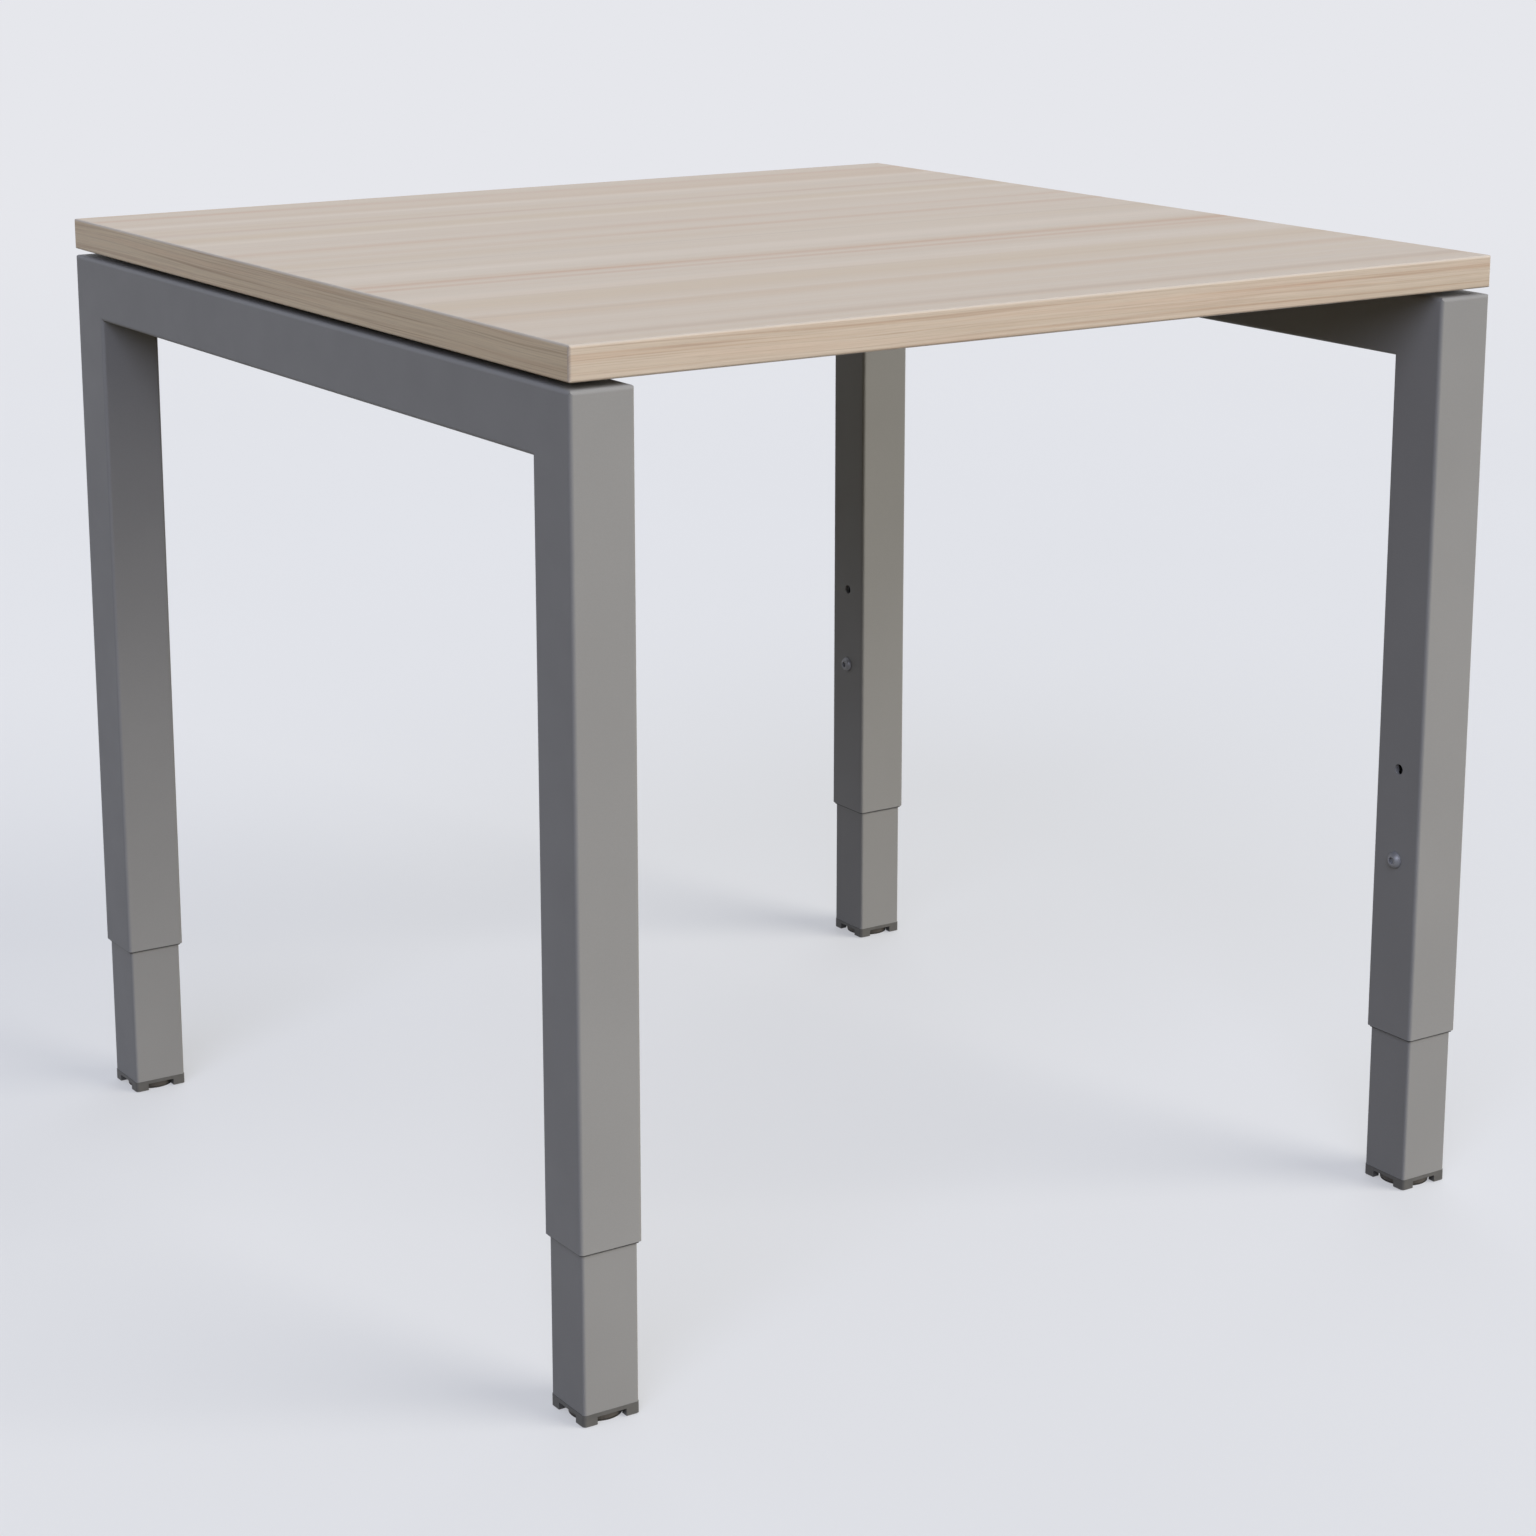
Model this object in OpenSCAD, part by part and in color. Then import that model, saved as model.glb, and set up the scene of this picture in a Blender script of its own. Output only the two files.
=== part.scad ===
// Square desk with a board top on two welded side frames and four telescopic legs.
// The legs are set by hand: a lock screw in each clamps the inner leg to the outer one.
// +X runs from the left side frame to the right one, +Y to the back and +Z up.
// The origin lies on the floor under the middle of the desk.

/* [Desk top] */
// Width of the top, left to right
top_w = 820; // [620:10:1200]
// Depth of the top, front to back
top_d = 820; // [620:10:1200]
// Height of the top's surface as the legs are set
desk_h = 760; // [690:5:800]
// Height of the top's surface with the legs pushed in
desk_low = 650; // [640:5:680]
// Height of the top's surface with the legs drawn out
desk_high = 850; // [805:5:870]
// Thickness of the board
board_t = 25; // [20:1:38]
// Thickness of the edge bands
band_t = 2; // [1:0.5:4]
// Radius on the edges and corners of the board
edge_r = 2; // [0.5:0.5:4]
// Gap between the board and the frame
top_gap = 5; // [3:1:12]

/* [Side frames] */
// Width of the square tube of legs and crossbars
tube_w = 50; // [46:1:60]
// Wall of that tube
tube_wall = 2; // [1.5:0.5:3]
// Outer corner radius of that tube
tube_r = 3; // [2:0.5:5]
// Length of the outer legs, measured from the top of the frame
outer_leg_l = 600; // [560:5:605]

/* [Inner legs] */
// Gap between the inner and the outer leg, each side
slide_gap = 0.5; // [0.3:0.1:1]
// Wall of the inner leg
inner_wall = 2; // [1.5:0.5:3]
// Outer corner radius of the inner leg
inner_r = 2.5; // [2:0.5:5]
// Length of inner leg above its slot
slot_land = 40; // [32:1:80]

/* [Height lock] */
// Height of the lock screw above the lower end of the outer leg
lock_up = 146; // [130:1:180]
// Height of the spare hole above the lock screw
spare_up = 75; // [40:1:100]
// Thread diameter of the lock screw
lock_d = 8; // [6:1:10]
// Thread pitch of the lock screw
lock_pitch = 1.25; // [1:0.25:1.5]
// Turns by which the lock screw is loosened
lock_turns = 2; // [1:1:3]
// How far the lock screw stands out of its clamp plate when it is loosened
lock_tail = 2.8; // [1:0.1:4]
// Diameter of the head of the lock screw
lock_head_d = 14; // [13:0.5:18]
// Height of the head of the lock screw
lock_head_h = 4.4; // [4:0.1:6]
// Width across flats of the lock screw's socket
lock_hex = 5; // [4:0.5:6]
// Height of the clamp plate
plate_h = 30; // [20:1:40]
// Thickness of the clamp plate
plate_t = 6; // [4:0.5:8]
// Gap between the clamp plate and the walls beside it
plate_side_gap = 2.5; // [1:0.5:5]

/* [Feet] */
// Height of the foot cap below the inner leg
cap_h = 8.5; // [8:0.5:14]
// How far the foot cap stands out past the inner leg, each side
cap_lip = 0.4; // [0.2:0.1:1]
// Height of the foot cap's rim above the floor
foot_lift = 0.8; // [0.2:0.1:2]
// Width of the notch in each face of the foot cap
notch_w = 23.5; // [16:0.5:28]
// Height of the notches
notch_h = 5.6; // [4:0.1:6]
// Diameter of the levelling disc
disc_d = 39; // [30:0.5:39.5]
// Thickness of the levelling disc
disc_t = 5; // [4:0.1:5]
// Thickness of the sole under the levelling disc
sole_t = 1.2; // [1:0.1:1.2]
// Thread diameter of the levelling stud
stud_d = 8; // [6:1:10]
// Height by which a levelling foot can be screwed out
glide_travel = 10; // [4:1:20]
// Depth of the plug of the foot cap inside the inner leg
foot_plug_h = 27; // [24:1:40]
// Width across flats of the levelling stud's nut
nut_w = 13; // [12:0.5:17]
// Thickness of that nut
nut_t = 6.5; // [5:0.5:8]

/* [Leg guides] */
// Thickness of the guide on the inner leg's upper end
guide_t = 3; // [2:0.5:6]
// Depth of the guide's plug inside the inner leg
guide_plug_h = 20; // [12:1:24]
// Gap between the guide and the outer leg, each side
guide_gap = 0.25; // [0.15:0.05:0.4]
// Height of the mouth bush inside the outer leg
bush_h = 20; // [12:1:40]
// Height of the mouth bush's lip below the outer leg
bush_lip_h = 1.4; // [1:0.1:3]

/* [Beams] */
// Distance of each beam from the middle of the desk
beam_y = 145; // [100:5:160]
// Width of the beam's tube
beam_w = 20; // [16:1:30]
// Height of the beam's tube
beam_h = 40; // [34:1:44]
// Wall of the beam's tube
beam_wall = 2; // [1.5:0.5:3]
// Width of the beam's end plate
plate_end_w = 70; // [64:1:90]
// Thickness of the beam's end plate
plate_end_t = 4; // [3:0.5:8]
// Distance between the two bolts of an end plate
bolt_gap = 48; // [44:1:60]
// Thread diameter of the beam's bolts
bolt_d = 8; // [6:1:8]
// Length of the beam's bolts under their heads
bolt_l = 16; // [12:1:25]

/* [Top fixing] */
// Distance of the outer screws of the top from the middle of the desk
fix_y = 300; // [200:5:300]
// Thread diameter of the top's screws
fix_d = 6; // [5:1:8]
// Depth of the top's screws in the board
fix_depth = 12; // [8:1:14]
// Diameter of the spacers between the frame and the top
spacer_d = 20; // [16:1:30]
// Outer diameter of the sleeve nuts in the board
sleeve_d = 10; // [9:0.5:12]
// Length of the sleeve nuts
sleeve_l = 13; // [10:1:15]

/* [Hidden] */

$fn = 48;

// Sides of the desk, as signs of X and Y
left = -1;
right = 1;
front = -1;
rear = 1;

// Clearances on each side: a thread in its nut, a bolt in its hole, a pressed or laid-in piece
thread_gap = 0.05;
bolt_play = 0.2;
press_gap = 0.1;
// How far a cut runs past a face
past = 1;
// Depth of a screw's socket as a share of the height of its head
socket_share = 0.6;

// Colours
board_colour = [0.79, 0.74, 0.68];
band_colour = [0.80, 0.73, 0.62];
frame_colour = [0.46, 0.47, 0.48];
plastic_colour = [0.27, 0.27, 0.26];
rubber_colour = [0.14, 0.14, 0.14];
zinc_colour = [0.66, 0.67, 0.69];

// Heights
board_z = desk_h - board_t;
frame_z = board_z - top_gap;
mouth_z = frame_z - outer_leg_l;
screw_z = mouth_z + lock_up;
travel_down = desk_h - desk_low;
travel_up = desk_high - desk_h;
cap_z = foot_lift;
leg_z = cap_z + cap_h;

// Plan of the legs
leg_x = (top_w - tube_w) / 2;
leg_y = (top_d - tube_w) / 2;

// Tubes
bore_w = tube_w - 2 * tube_wall;
inner_w = bore_w - 2 * slide_gap;
clear_w = inner_w - 2 * inner_wall;
clear_r = max(inner_r - inner_wall, 0.5);

// Mouth bush: its bore round the inner leg and its lip under the end of the outer one
bush_gap = 0.1;
bush_bore_w = inner_w + 2 * bush_gap;
bush_bore_r = inner_r + bush_gap;
bush_lip_w = tube_w - 1.3 * tube_wall;

// Slot of the inner leg, in which the lock screw travels
slot_play = 0.5;
slot_w = lock_d + 2 * slot_play;
slot_end = slot_w / 2 + 2;
slot_lo = screw_z - travel_down - slot_end;
slot_hi = screw_z + travel_up + slot_end;
leg_top = slot_hi + slot_land;

// Lock screw and its clamp plate
clamp_gap = 0.2;
seat_gap = 0.05;
plate_w = clear_w - 2 * plate_side_gap;
plate_x = clear_w / 2 - clamp_gap - plate_t;
plate_r = 3;
lock_l = tube_wall + slide_gap + inner_wall + clamp_gap + plate_t + lock_turns * lock_pitch
    + lock_tail;

// Foot cap: the recess over the levelling disc and the plug inside the inner leg
cap_w = inner_w + 2 * cap_lip;
cap_r = inner_r + cap_lip;
disc_play = 1;
disc_lift = 0.4;
disc_z = sole_t;
recess_d = disc_d + 2 * disc_play;
recess_z = disc_z + disc_t + disc_lift;
fin_w = clear_w - 2 * press_gap;
fin_deep = 2;
fin_t = 1.4;
cap_fins = 4;
guide_fins = 3;
plug_w = fin_w - 2 * fin_deep;
plug_wall = 2.2;
plug_r = clear_r + 1;
boss_wall = 2.4;
boss_d = (nut_w + 2 * press_gap) / cos(30) + 2 * boss_wall;
foot_plug_z = leg_z + foot_plug_h;
nut_z = foot_plug_z - nut_t;
sole_step = 0.4;
sole_d = disc_d - 2 * sole_step;
pivot_d = 10;
pivot_h = 2;

// Levelling stud, with the flange that the disc is moulded round
stud_tail = 1;
stud_top = foot_plug_z + glide_travel + stud_tail;
flange_d = 13;
flange_under = 0.6;
flange_over = 0.8;
flange_z = disc_z + pivot_h + flange_under;
flange_t = disc_t - pivot_h - flange_under - flange_over;
edge_cut = 0.6;

// Beams
crossbar_face = top_w / 2 - tube_w;
rivet_rim_t = 1;
rivet_rim_d = bolt_d + 6;
rivet_d = bolt_d + 3;
rivet_l = 12;
beam_l = 2 * (crossbar_face - rivet_rim_t);
beam_z = frame_z - beam_h;
beam_r = 2;
plate_end_r = 4;
bolt_hex = 13;
bolt_head_h = 5.3;
bolt_rim_d = 16;
bolt_rim_t = 1.6;

// Fixing of the top
fix_head_d = 2 * fix_d;
fix_head_h = 0.6 * fix_d;
fix_hex = 4;
fix_access_d = fix_head_d + 2;
fix_places = concat(
    [for (s = [left, right]) for (y = [-fix_y, 0, fix_y]) [s * leg_x, y]],
    [for (s = [front, rear]) [0, s * beam_y]]
);

// Rectangle with rounded corners about the origin
module rounded_rect(w, h, r) {
    square([w - 2 * r, h], center = true);
    square([w, h - 2 * r], center = true);
    for (x = [-1, 1], y = [-1, 1])
        translate([x * (w / 2 - r), y * (h / 2 - r)]) circle(r = r);
}

// Section of a square or flat tube
module tube_section(w, h, r, wall) {
    difference() {
        rounded_rect(w, h, r);
        rounded_rect(w - 2 * wall, h - 2 * wall, max(r - wall, 0.5));
    }
}

// Puts a piece of the front left leg, drawn about the leg's axis, at one of the four legs.
// Drawn there, +X points to the other side frame and +Y to the middle of the desk.
module at_leg(side, end) {
    translate([side * leg_x, end * leg_y, 0])
        mirror([side == right ? 1 : 0, 0, 0])
            mirror([0, end == rear ? 1 : 0, 0])
                children();
}

// Turns a piece drawn along +Z to lie along +X
module along_x() {
    rotate([0, 90, 0]) children();
}

// Turns an outline drawn in X and Y so that it stands in Y and Z, and gives it a length in X
module extrude_x(length) {
    rotate([90, 0, 90]) linear_extrude(length, center = true) children();
}

// Hexagonal prism of a width across flats
module hex_prism(flats, h) {
    cylinder(d = flats / cos(30), h = h, $fn = 6);
}

// Domed screw head on the plane z = 0, with a hexagon socket. The dome's sphere passes
// through the rim and through the edge of the flat round the socket.
module button_head(d, h, flats) {
    rim = 0.15 * h;
    flat_r = 0.27 * d;
    depth = socket_share * h;
    centre = ((h * h + flat_r * flat_r) - (rim * rim + d * d / 4)) / (2 * (h - rim));
    difference() {
        intersection() {
            cylinder(d = d, h = h);
            translate([0, 0, centre]) sphere(r = norm([flat_r, h - centre]));
        }
        translate([0, 0, h - depth]) hex_prism(flats, depth + past);
    }
}

// Outer shape of the banded board, with all its edges and corners rounded
module board_outline() {
    translate([0, 0, board_z + board_t / 2])
        intersection() {
            linear_extrude(board_t, center = true) rounded_rect(top_w, top_d, edge_r);
            extrude_x(top_w) rounded_rect(top_d, board_t, edge_r);
            rotate([0, 0, 90]) extrude_x(top_d) rounded_rect(top_w, board_t, edge_r);
        }
}

// Block of the board's height, from its place and size in plan
module board_block(w, d, x, y) {
    translate([x - w / 2, y - d / 2, board_z - past]) cube([w, d, board_t + 2 * past]);
}

module desktop_panel() {
    color(board_colour)
        difference() {
            intersection() {
                board_outline();
                board_block(top_w - 2 * band_t, top_d - 2 * band_t, 0, 0);
            }
            for (p = fix_places)
                translate([p[0], p[1], board_z - past])
                    cylinder(d = sleeve_d, h = sleeve_l + past);
        }
}

// Band along the front or rear edge, over the ends of the side bands
module long_edge_band(end) {
    color(band_colour)
        intersection() {
            board_outline();
            board_block(top_w, band_t, 0, end * (top_d - band_t) / 2);
        }
}

// Band along the left or right edge
module side_edge_band(side) {
    color(band_colour)
        intersection() {
            board_outline();
            board_block(band_t, top_d - 2 * band_t, side * (top_w - band_t) / 2, 0);
        }
}

// Side view of a side frame, solid, with its two upper corners ground round
module frame_outline() {
    extrude_x(tube_w)
        translate([0, (frame_z + mouth_z) / 2]) {
            square([top_d, outer_leg_l - 2 * tube_r], center = true);
            translate([0, -tube_r]) square([top_d, outer_leg_l - 2 * tube_r], center = true);
            square([top_d - 2 * tube_r, outer_leg_l], center = true);
            for (s = [front, rear])
                translate([s * (top_d / 2 - tube_r), outer_leg_l / 2 - tube_r]) circle(r = tube_r);
        }
}

// Wedge that holds all of the crossbar's side of both mitres
module mitre_wedge() {
    extrude_x(tube_w + 2 * past)
        polygon([
            [-top_d / 2, frame_z], [top_d / 2, frame_z],
            [top_d / 2 - tube_w - past, frame_z - tube_w - past],
            [-top_d / 2 + tube_w + past, frame_z - tube_w - past]
        ]);
}

// Square tube from the floor end of the outer leg up to the mitre under the crossbar
module outer_leg(side, end) {
    color(frame_colour)
        difference() {
            intersection() {
                translate([side * leg_x, end * leg_y, mouth_z])
                    linear_extrude(outer_leg_l) tube_section(tube_w, tube_w, tube_r, tube_wall);
                translate([side * leg_x, 0, 0]) frame_outline();
            }
            translate([side * leg_x, 0, 0]) mitre_wedge();
            for (z = [screw_z, screw_z + spare_up])
                at_leg(side, end) translate([bore_w / 2 - past, 0, z])
                    along_x() cylinder(d = lock_d + 2 * bolt_play, h = tube_wall + 2 * past);
        }
}

// Square tube over both legs of a side frame, with the holes for the top and the beams
module crossbar(side) {
    color(frame_colour)
        difference() {
            intersection() {
                translate([side * leg_x, 0, frame_z - tube_w / 2])
                    rotate([90, 0, 0]) linear_extrude(top_d, center = true)
                        tube_section(tube_w, tube_w, tube_r, tube_wall);
                translate([side * leg_x, 0, 0]) frame_outline();
                translate([side * leg_x, 0, 0]) mitre_wedge();
            }
            for (y = [-fix_y, 0, fix_y])
                translate([side * leg_x, y, 0]) {
                    translate([0, 0, frame_z - tube_w / 2])
                        cylinder(d = fix_d + 2 * bolt_play, h = tube_w);
                    translate([0, 0, frame_z - tube_w - past])
                        cylinder(d = fix_access_d, h = tube_w / 2);
                }
            for (p = bolt_places(side))
                translate([side * (crossbar_face - past), p[0], p[1]])
                    rotate([0, 0, side == left ? 180 : 0]) along_x()
                        cylinder(d = rivet_d, h = tube_wall + 2 * past);
        }
}

// Places of the beams' bolts on a crossbar, as Y and Z
function bolt_places(side) = [
    for (s = [front, rear]) for (t = [-1, 1])
        [s * beam_y + t * bolt_gap / 2, frame_z - beam_h / 2]
];

// Flat tube between the crossbars, with a welded plate at each end
module beam(end) {
    color(frame_colour)
        difference() {
            translate([0, end * beam_y, beam_z + beam_h / 2]) {
                extrude_x(beam_l - 2 * plate_end_t)
                    tube_section(beam_w, beam_h, beam_r, beam_wall);
                for (s = [left, right])
                    translate([s * (beam_l - plate_end_t) / 2, 0, 0])
                        extrude_x(plate_end_t)
                            rounded_rect(plate_end_w, beam_h, plate_end_r);
            }
            for (s = [left, right], t = [-1, 1])
                translate([s * beam_l / 2, end * beam_y + t * bolt_gap / 2, beam_z + beam_h / 2])
                    rotate([0, -90 * s, 0]) translate([0, 0, -past])
                        cylinder(d = bolt_d + 2 * bolt_play, h = plate_end_t + 2 * past);
            translate([0, end * beam_y, 0]) {
                translate([0, 0, frame_z - beam_h / 2])
                    cylinder(d = fix_d + 2 * bolt_play, h = beam_h);
                translate([0, 0, beam_z - past]) cylinder(d = fix_access_d, h = beam_h / 2);
            }
        }
}

// Bolts with a collar under the hexagon, from the beams' end plates into the rivet nuts
module beam_bolts() {
    color(zinc_colour)
        for (s = [left, right], p = bolt_places(s))
            translate([s * (beam_l / 2 - plate_end_t), p[0], p[1]]) rotate([0, 90 * s, 0]) {
                cylinder(d = bolt_d, h = bolt_l);
                translate([0, 0, -bolt_rim_t]) cylinder(d = bolt_rim_d, h = bolt_rim_t);
                translate([0, 0, -bolt_head_h]) hex_prism(bolt_hex, bolt_head_h);
            }
}

module beam_rivet_nuts() {
    color(zinc_colour)
        for (s = [left, right], p = bolt_places(s))
            translate([s * crossbar_face, p[0], p[1]]) rotate([0, 90 * s, 0])
                difference() {
                    union() {
                        cylinder(d = rivet_d, h = rivet_l);
                        translate([0, 0, -rivet_rim_t])
                            cylinder(d = rivet_rim_d, h = rivet_rim_t);
                    }
                    translate([0, 0, -rivet_rim_t - past])
                        cylinder(d = bolt_d + 2 * thread_gap, h = rivet_l + rivet_rim_t + 2 * past);
                }
}

module top_spacers() {
    color(plastic_colour)
        for (p = fix_places)
            translate([p[0], p[1], frame_z])
                difference() {
                    cylinder(d = spacer_d, h = top_gap);
                    translate([0, 0, -past])
                        cylinder(d = fix_d + 2 * bolt_play, h = top_gap + 2 * past);
                }
}

// Screws from inside the tubes, through the spacers, into the sleeve nuts
module top_screws() {
    color(zinc_colour)
        for (p = fix_places) {
            wall = p[0] == 0 ? beam_wall : tube_wall;
            translate([p[0], p[1], frame_z - wall]) {
                cylinder(d = fix_d, h = wall + top_gap + fix_depth);
                rotate([180, 0, 0]) button_head(fix_head_d, fix_head_h, fix_hex);
            }
        }
}

module top_sleeve_nuts() {
    color(zinc_colour)
        for (p = fix_places)
            translate([p[0], p[1], board_z])
                difference() {
                    cylinder(d = sleeve_d, h = sleeve_l);
                    translate([0, 0, -past])
                        cylinder(d = fix_d + 2 * thread_gap, h = sleeve_l + 2 * past);
                }
}

// Square tube that slides in the outer leg, slotted for the lock screw
module inner_leg() {
    color(frame_colour)
        difference() {
            translate([0, 0, leg_z])
                linear_extrude(leg_top - leg_z) tube_section(inner_w, inner_w, inner_r, inner_wall);
            translate([clear_w / 2 - past, 0, 0]) along_x()
                linear_extrude(inner_wall + 2 * past) {
                    for (z = [slot_lo + slot_w / 2, slot_hi - slot_w / 2])
                        translate([-z, 0]) circle(d = slot_w);
                    translate([-(slot_lo + slot_hi) / 2, 0])
                        square([slot_hi - slot_lo - slot_w, slot_w], center = true);
                }
        }
}

// Plastic guide on the upper end of the inner leg
module leg_guide() {
    guide_w = bore_w - 2 * guide_gap;
    color(plastic_colour) {
        translate([0, 0, leg_top]) linear_extrude(guide_t) rounded_rect(guide_w, guide_w, inner_r);
        plug_shell(leg_top - guide_plug_h, guide_plug_h, guide_fins);
    }
}

// Thin bush in the mouth of the outer leg, with a lip that shows below the tube's end
module mouth_bush() {
    color(plastic_colour)
        translate([0, 0, mouth_z - bush_lip_h])
            difference() {
                union() {
                    linear_extrude(bush_lip_h) rounded_rect(bush_lip_w, bush_lip_w, inner_r);
                    linear_extrude(bush_lip_h + bush_h) rounded_rect(bore_w, bore_w, inner_r);
                }
                translate([0, 0, -past]) linear_extrude(bush_lip_h + bush_h + 2 * past)
                    rounded_rect(bush_bore_w, bush_bore_w, bush_bore_r);
            }
}

// Hollow square plug with fins round it, from z up
module plug_shell(z, h, fins) {
    translate([0, 0, z]) {
        linear_extrude(h) tube_section(plug_w, plug_w, plug_r, plug_wall);
        for (i = [0:fins - 1])
            translate([0, 0, i * (h - fin_t) / fins + fin_t])
                linear_extrude(fin_t) difference() {
                    rounded_rect(fin_w, fin_w, plug_r);
                    square(plug_w - plug_wall, center = true);
                }
    }
}

// Button head screw through the outer leg and the slot into the clamp plate
module lock_screw() {
    color(zinc_colour * 0.8)
        translate([tube_w / 2 + seat_gap, 0, screw_z]) along_x() {
            translate([0, 0, -lock_l]) cylinder(d = lock_d, h = lock_l);
            button_head(lock_head_d, lock_head_h, lock_hex);
        }
}

// Threaded plate that the lock screw draws against the inner leg's wall
module clamp_plate() {
    color(zinc_colour)
        translate([plate_x, 0, screw_z]) along_x()
            difference() {
                linear_extrude(plate_t) rounded_rect(plate_h, plate_w, plate_r);
                translate([0, 0, -past])
                    cylinder(d = lock_d + 2 * thread_gap, h = plate_t + 2 * past);
            }
}

// Foot cap: a rim just above the floor with a notch in each face, and a finned plug in the
// inner leg
module foot_cap() {
    color(plastic_colour)
        difference() {
            union() {
                translate([0, 0, cap_z]) linear_extrude(cap_h) rounded_rect(cap_w, cap_w, cap_r);
                plug_shell(leg_z, foot_plug_h, cap_fins);
                translate([0, 0, leg_z]) cylinder(d = boss_d, h = foot_plug_h);
                for (a = [0, 90])
                    rotate([0, 0, a]) translate([-plug_w / 2 + plug_wall / 2, -plug_wall / 2, leg_z])
                        cube([plug_w - plug_wall, plug_wall, foot_plug_h - nut_t]);
            }
            translate([0, 0, cap_z - past]) cylinder(d = recess_d, h = recess_z - cap_z + past);
            for (a = [0, 90])
                rotate([0, 0, a]) translate([-cap_w, -notch_w / 2, cap_z - past])
                    cube([2 * cap_w, notch_w, notch_h + past]);
            cylinder(d = stud_d + 2 * bolt_play, h = foot_plug_z);
            translate([0, 0, nut_z]) hex_prism(nut_w + 2 * press_gap, nut_t + past);
        }
}

module glide_nut() {
    color(zinc_colour)
        translate([0, 0, nut_z])
            difference() {
                hex_prism(nut_w, nut_t);
                translate([0, 0, -past]) cylinder(d = stud_d + 2 * thread_gap, h = nut_t + 2 * past);
            }
}

// Levelling disc, moulded round the flange of its stud and hollow underneath for the pivot
module glide() {
    disc_r = disc_d / 2;
    disc_top = disc_z + disc_t;
    flange_top = flange_z + flange_t;
    color(plastic_colour)
        rotate_extrude()
            polygon([
                [0, disc_z + pivot_h], [pivot_d / 2, disc_z + pivot_h], [pivot_d / 2, disc_z],
                [disc_r - edge_cut, disc_z], [disc_r, disc_z + edge_cut],
                [disc_r, disc_top - edge_cut], [disc_r - edge_cut, disc_top],
                [stud_d / 2 + thread_gap, disc_top],
                [stud_d / 2 + thread_gap, flange_top + thread_gap],
                [flange_d / 2 + thread_gap, flange_top + thread_gap],
                [flange_d / 2 + thread_gap, flange_z], [0, flange_z]
            ]);
}

// Threaded stud with its flange
module glide_stud() {
    color(zinc_colour)
        rotate_extrude()
            polygon([
                [0, flange_z], [flange_d / 2, flange_z], [flange_d / 2, flange_z + flange_t],
                [stud_d / 2, flange_z + flange_t], [stud_d / 2, stud_top - edge_cut],
                [stud_d / 2 - edge_cut, stud_top], [0, stud_top]
            ]);
}

// Sole that stays on the floor while the disc turns on its pivot
module glide_sole() {
    color(rubber_colour)
        rotate_extrude()
            polygon([
                [0, 0], [sole_d / 2, 0], [sole_d / 2, sole_t],
                [pivot_d / 2 - thread_gap, sole_t], [pivot_d / 2 - thread_gap, sole_t + pivot_h],
                [0, sole_t + pivot_h]
            ]);
}

desktop_panel();
long_edge_band(front);  // front_edge_band
long_edge_band(rear);  // rear_edge_band
side_edge_band(left);  // left_edge_band
side_edge_band(right);  // right_edge_band
crossbar(left);  // left_crossbar
crossbar(right);  // right_crossbar
outer_leg(left, front);  // front_left_outer_leg
outer_leg(right, front);  // front_right_outer_leg
outer_leg(left, rear);  // rear_left_outer_leg
outer_leg(right, rear);  // rear_right_outer_leg
at_leg(left, front) mouth_bush();  // front_left_mouth_bush
at_leg(right, front) mouth_bush();  // front_right_mouth_bush
at_leg(left, rear) mouth_bush();  // rear_left_mouth_bush
at_leg(right, rear) mouth_bush();  // rear_right_mouth_bush
beam(front);  // front_beam
beam(rear);  // rear_beam
beam_bolts();
beam_rivet_nuts();
top_spacers();
top_screws();
top_sleeve_nuts();
at_leg(left, front) inner_leg();  // front_left_inner_leg
at_leg(right, front) inner_leg();  // front_right_inner_leg
at_leg(left, rear) inner_leg();  // rear_left_inner_leg
at_leg(right, rear) inner_leg();  // rear_right_inner_leg
at_leg(left, front) leg_guide();  // front_left_leg_guide
at_leg(right, front) leg_guide();  // front_right_leg_guide
at_leg(left, rear) leg_guide();  // rear_left_leg_guide
at_leg(right, rear) leg_guide();  // rear_right_leg_guide
at_leg(left, front) lock_screw();  // front_left_lock_screw
at_leg(right, front) lock_screw();  // front_right_lock_screw
at_leg(left, rear) lock_screw();  // rear_left_lock_screw
at_leg(right, rear) lock_screw();  // rear_right_lock_screw
at_leg(left, front) clamp_plate();  // front_left_clamp_plate
at_leg(right, front) clamp_plate();  // front_right_clamp_plate
at_leg(left, rear) clamp_plate();  // rear_left_clamp_plate
at_leg(right, rear) clamp_plate();  // rear_right_clamp_plate
at_leg(left, front) foot_cap();  // front_left_foot_cap
at_leg(right, front) foot_cap();  // front_right_foot_cap
at_leg(left, rear) foot_cap();  // rear_left_foot_cap
at_leg(right, rear) foot_cap();  // rear_right_foot_cap
at_leg(left, front) glide_nut();  // front_left_glide_nut
at_leg(right, front) glide_nut();  // front_right_glide_nut
at_leg(left, rear) glide_nut();  // rear_left_glide_nut
at_leg(right, rear) glide_nut();  // rear_right_glide_nut
at_leg(left, front) glide();  // front_left_glide
at_leg(right, front) glide();  // front_right_glide
at_leg(left, rear) glide();  // rear_left_glide
at_leg(right, rear) glide();  // rear_right_glide
at_leg(left, front) glide_stud();  // front_left_glide_stud
at_leg(right, front) glide_stud();  // front_right_glide_stud
at_leg(left, rear) glide_stud();  // rear_left_glide_stud
at_leg(right, rear) glide_stud();  // rear_right_glide_stud
at_leg(left, front) glide_sole();  // front_left_glide_sole
at_leg(right, front) glide_sole();  // front_right_glide_sole
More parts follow.
